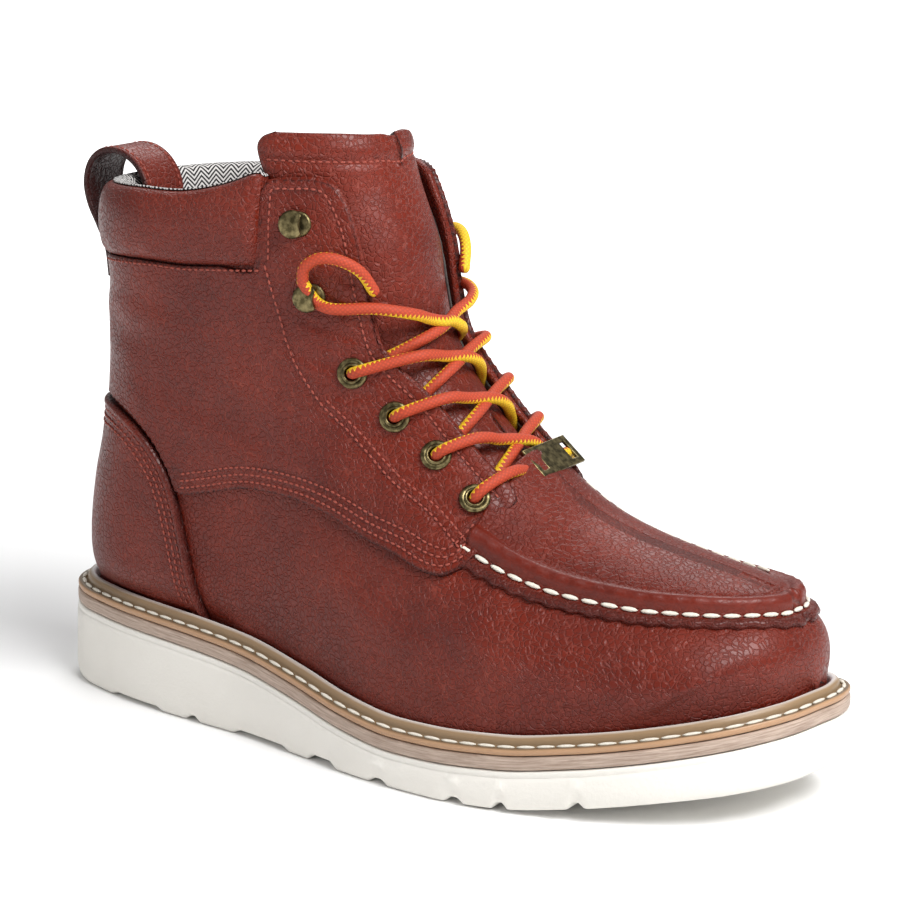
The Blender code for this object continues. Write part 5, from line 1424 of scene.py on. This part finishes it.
def two_colour_braid():
    """Round polyester braid: the two yarns meet in a zigzag, the strands cross in relief."""
    look, tree, shader = new_material("two_colour_braid")
    split = add(tree, "ShaderNodeSeparateXYZ",
                Vector=add(tree, "ShaderNodeUVMap", {"uv_map": "UVMap"}).outputs[0])
    tooth = add(tree, "ShaderNodeMath", {"operation": "PINGPONG"},
                in_0=split.outputs["Y"], in_1=0.8)
    turned = add(tree, "ShaderNodeMath", {"operation": "MULTIPLY_ADD"},
                 in_0=split.outputs["Y"], in_1=0.009, in_2=split.outputs["X"])
    jagged = add(tree, "ShaderNodeMath", {"operation": "MULTIPLY_ADD"},
                 in_0=tooth.outputs[0], in_1=0.16, in_2=turned.outputs[0])
    around = add(tree, "ShaderNodeMath", {"operation": "PINGPONG"},
                 in_0=jagged.outputs[0], in_1=0.5)
    pick = add(tree, "ShaderNodeMath", {"operation": "GREATER_THAN"},
               in_0=around.outputs[0], in_1=0.25)
    strands = []
    for slant in (1.0, -1.0):
        lean = add(tree, "ShaderNodeMath", {"operation": "MULTIPLY"},
                   in_0=split.outputs["X"], in_1=8 * slant)
        strand = add(tree, "ShaderNodeMath", {"operation": "MULTIPLY_ADD"},
                     in_0=split.outputs["Y"], in_1=0.62, in_2=lean.outputs[0])
        strands.append(add(tree, "ShaderNodeMath", {"operation": "PINGPONG"},
                           in_0=strand.outputs[0], in_1=0.5).outputs[0])
    braid = add(tree, "ShaderNodeMath", {"operation": "MULTIPLY"}, in_0=strands[0], in_1=strands[1])
    tone = add(tree, "ShaderNodeMixRGB", Fac=pick.outputs[0],
               Color1=linear("#f0c31f"), Color2=linear("#b9401f"))
    shade = add(tree, "ShaderNodeMapRange", Value=braid.outputs[0],
                From_Max=0.16, To_Min=0.72, To_Max=1.05)
    toned = add(tree, "ShaderNodeVectorMath", {"operation": "SCALE"},
                Vector=tone.outputs[0], Scale=shade.outputs[0])
    tree.links.new(toned.outputs[0], shader.inputs["Base Color"])
    bump = add(tree, "ShaderNodeBump", Strength=0.7, Distance=0.0004, Height=braid.outputs[0])
    tree.links.new(bump.outputs[0], shader.inputs["Normal"])
    shader.inputs["Roughness"].default_value = 0.68
    return look


BRAID = two_colour_braid()


def cord_skin(points):
    """Points, faces and UVs (turns round, millimetres along) of the lace, ends closed."""
    forward = np.gradient(points, axis=0)
    forward /= np.linalg.norm(forward, axis=1, keepdims=True)
    normal = np.cross(forward[0], (0, 0, 1.0))
    normals = []
    for step in forward:
        normal = normal - step * (normal @ step)
        normal /= np.linalg.norm(normal)
        normals.append(normal)
    normals = np.array(normals)
    other = np.cross(forward, normals)
    run = run_of(points)
    turn = np.linspace(0, 1, LACE_SIDES + 1)
    angle = 2 * math.pi * turn[None, :, None]
    off = np.cos(angle) * normals[:, None] + np.sin(angle) * other[:, None]
    body = points[:, None] + LACE_RADIUS * off
    uv = np.stack(np.broadcast_arrays(turn[None, :] + BRAID_TURN, run[:, None]), -1)
    caps = []
    for k, sign in ((0, -1), (-1, 1)):
        for shrink, reach in ((0.75, 0.55), (0.02, 0.8)):
            tip = points[k] + sign * reach * LACE_RADIUS * forward[k]
            caps.append(tip + shrink * (body[k] - points[k]))
    body = np.concatenate([[caps[1], caps[0]], body, [caps[2], caps[3]]])
    uv = np.concatenate([uv[:1], uv[:1], uv, uv[-1:], uv[-1:]])
    return body.reshape(-1, 3), grid_quads(len(body), LACE_SIDES + 1), uv.reshape(-1, 2)


def over_front(z, across, lift):
    """Points of the skin met by going inward from the front line."""
    side = np.where(across < 0, -1, 1)
    x = ridge_at(z)
    aim = np.stack([-2.0 + 0 * z, ridge_at(z + 1) - ridge_at(z - 1)], -1)
    aim /= np.linalg.norm(aim, axis=-1, keepdims=True)
    low, high = np.full(len(z), 0.02), np.full(len(z), 45.0)
    for _ in range(HALVINGS):
        d = (low + high) / 2
        narrow = half_width(side, x + d * aim[:, 0], z + d * aim[:, 1]) < np.abs(across)
        low, high = np.where(narrow, d, low), np.where(narrow, high, d)
    return skin(side, x + high * aim[:, 0], z + high * aim[:, 1], lift, plain=True)[0]


LACED = [HOOKS[1]] + EYELETS
stations = []
for x, z in LACED:
    foot = skin(-1, [x], [z], plain=True)[0][0]
    heights = np.linspace(84, 185, 203)
    reach = np.linalg.norm(over_front(heights, np.full(203, -abs(foot[1])), 0.0) - foot, axis=1)
    stations.append((float(heights[int(np.argmin(reach))]), abs(foot[1])))


def bar_route(a, b):
    """Lateral station a to medial station b. The end that starts on top leaves its eyelet
    over the flap; the other end dives under the edge of the flap."""
    (z1, w1), (z2, w2) = stations[a], stations[b]
    on_lateral, on_medial = a <= b, a >= b
    first = 0.15 if on_lateral else 0.20
    last = 1 - (0.15 if on_medial else 0.20)
    t = np.linspace(first, last, 9)
    across = -w1 + t * (w1 + w2)
    z = z1 + t * (z2 - z1) - (5.0 * np.sin(math.pi * t) if 0 in (a, b) else 0.0)
    edge = ease((np.abs(across) - 7) / 11)
    high = np.where(across < 0, on_lateral, on_medial)
    rest = 0.2 + (1.5 if a < b else -0.5 if a > b else 0.2) * np.exp(-(across / 9) ** 2)
    lift = rest + edge * np.where(high, 5.6, -1.9)
    route = list(over_front(z, across, lift))
    for station, side, on_top, where in ((a, -1, on_lateral, 0), (b, 1, on_medial, -1)):
        x, z = LACED[station]
        near = route[0] if where == 0 else route[-1]
        seat, out = (v[0] for v in skin(side, [x], [z], PANEL_TOP))
        toward = near - seat
        toward -= out * (toward @ out)
        toward /= np.linalg.norm(toward)
        if station == 0:
            ends = [seat + 2.2 * out + 3.4 * toward - (0, 0, 1.0),
                    seat + 3.0 * out + 9 * toward - (0, 0, 2.0)]
            if on_top:
                start = END_ROUTE[0]
                ends = [np.array([start[0], middle_y(start[0]) + side * start[1], start[2]])] + ends
        elif on_top:
            ends = [seat - 0.6 * out - 0.4 * toward, seat + 1.7 * out + 0.9 * toward,
                    seat + 3.0 * out + 4.2 * toward]
        else:
            ends = [seat - 5.6 * out - 1.0 * toward, seat - 5.4 * out + 3.5 * toward]
        route = ends + route if where == 0 else route + ends[::-1]
    return along(smooth_path(route, per_span=8), np.linspace(0, 1, 90))


END_ROUTE = [
    (126.0, 40.6, 163.5), (127.5, 41.6, 168.5), (132.5, 40.4, 172.0), (138.5, 37.0, 171.5),
    (143.5, 32.0, 167.5), (146.0, 27.5, 160.5),
]
parts, start = [], 0
for a, b in BARS:
    body = cord_skin(bar_route(a, b))
    parts.append((body[0], body[1] + start, body[2]))
    start += len(body[0])
points, quads, uv = (np.vstack([part[k] for part in parts]) for k in range(3))
lace = piece("lace_bars", points, quads, BRAID, uv)
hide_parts("lace_crossings")
# Free ends, 4 mm thick, as long as the photograph shows them
for name, node, side in (("outer_lace_end", "lace_end_lateral", -1),
                         ("inner_lace_end", "lace_end_medial", 1)):
    route = np.array([(x, middle_y(x) + side * y, z) for x, y, z in END_ROUTE])
    route = along(smooth_path(route), np.linspace(0, 1, 40))
    body = cord_skin(route)
    end = piece(name, *body[:2], BRAID, body[2])
    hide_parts(node)
    line = [tuple(map(float, p)) for p in placed(route)]

# Lace plate: a plain brass tag threaded on the lowest bar through a slot at each end.
PLATE_X = [-13.0, -10.6, -7.6, 7.6, 10.6, 13.0]
PLATE_Y = [-6.0, -3.6, 3.6, 6.0]
corners = [(x, y) for x in PLATE_X for y in PLATE_Y]
cells = [(i, j) for i in range(5) for j in range(3) if not (j == 1 and i in (1, 3))]
tag_quads = [(4 * i + j, 4 * i + 4 + j, 4 * i + 5 + j, 4 * i + 1 + j) for i, j in cells]
bar = bar_route(4, 4)
place = int(0.62 * len(bar))
along_bar = bar[place + 12] - bar[place - 12]
along_bar /= np.linalg.norm(along_bar)
centre_line = over_front(np.array([stations[4][0]]), np.array([bar[place][1]]), 0.0)[0]
out = bar[place] - centre_line
out -= along_bar * (out @ along_bar)
out /= np.linalg.norm(out)
across = np.cross(out, along_bar)
seat = bar[place] + 2.3 * out
points = [seat + x * along_bar + y * across for x, y in corners]
tag = piece("lace_plate_tag", points, tag_quads, BRASS)
tag.data.shade_flat()
thick = tag.modifiers.new("thickness", "SOLIDIFY")
thick.thickness, thick.offset = 1.2 * MM, 0
soft = tag.modifiers.new("edges", "BEVEL")
soft.width, soft.segments = 0.35 * MM, 2
bake(tag)
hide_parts("lace_plate")
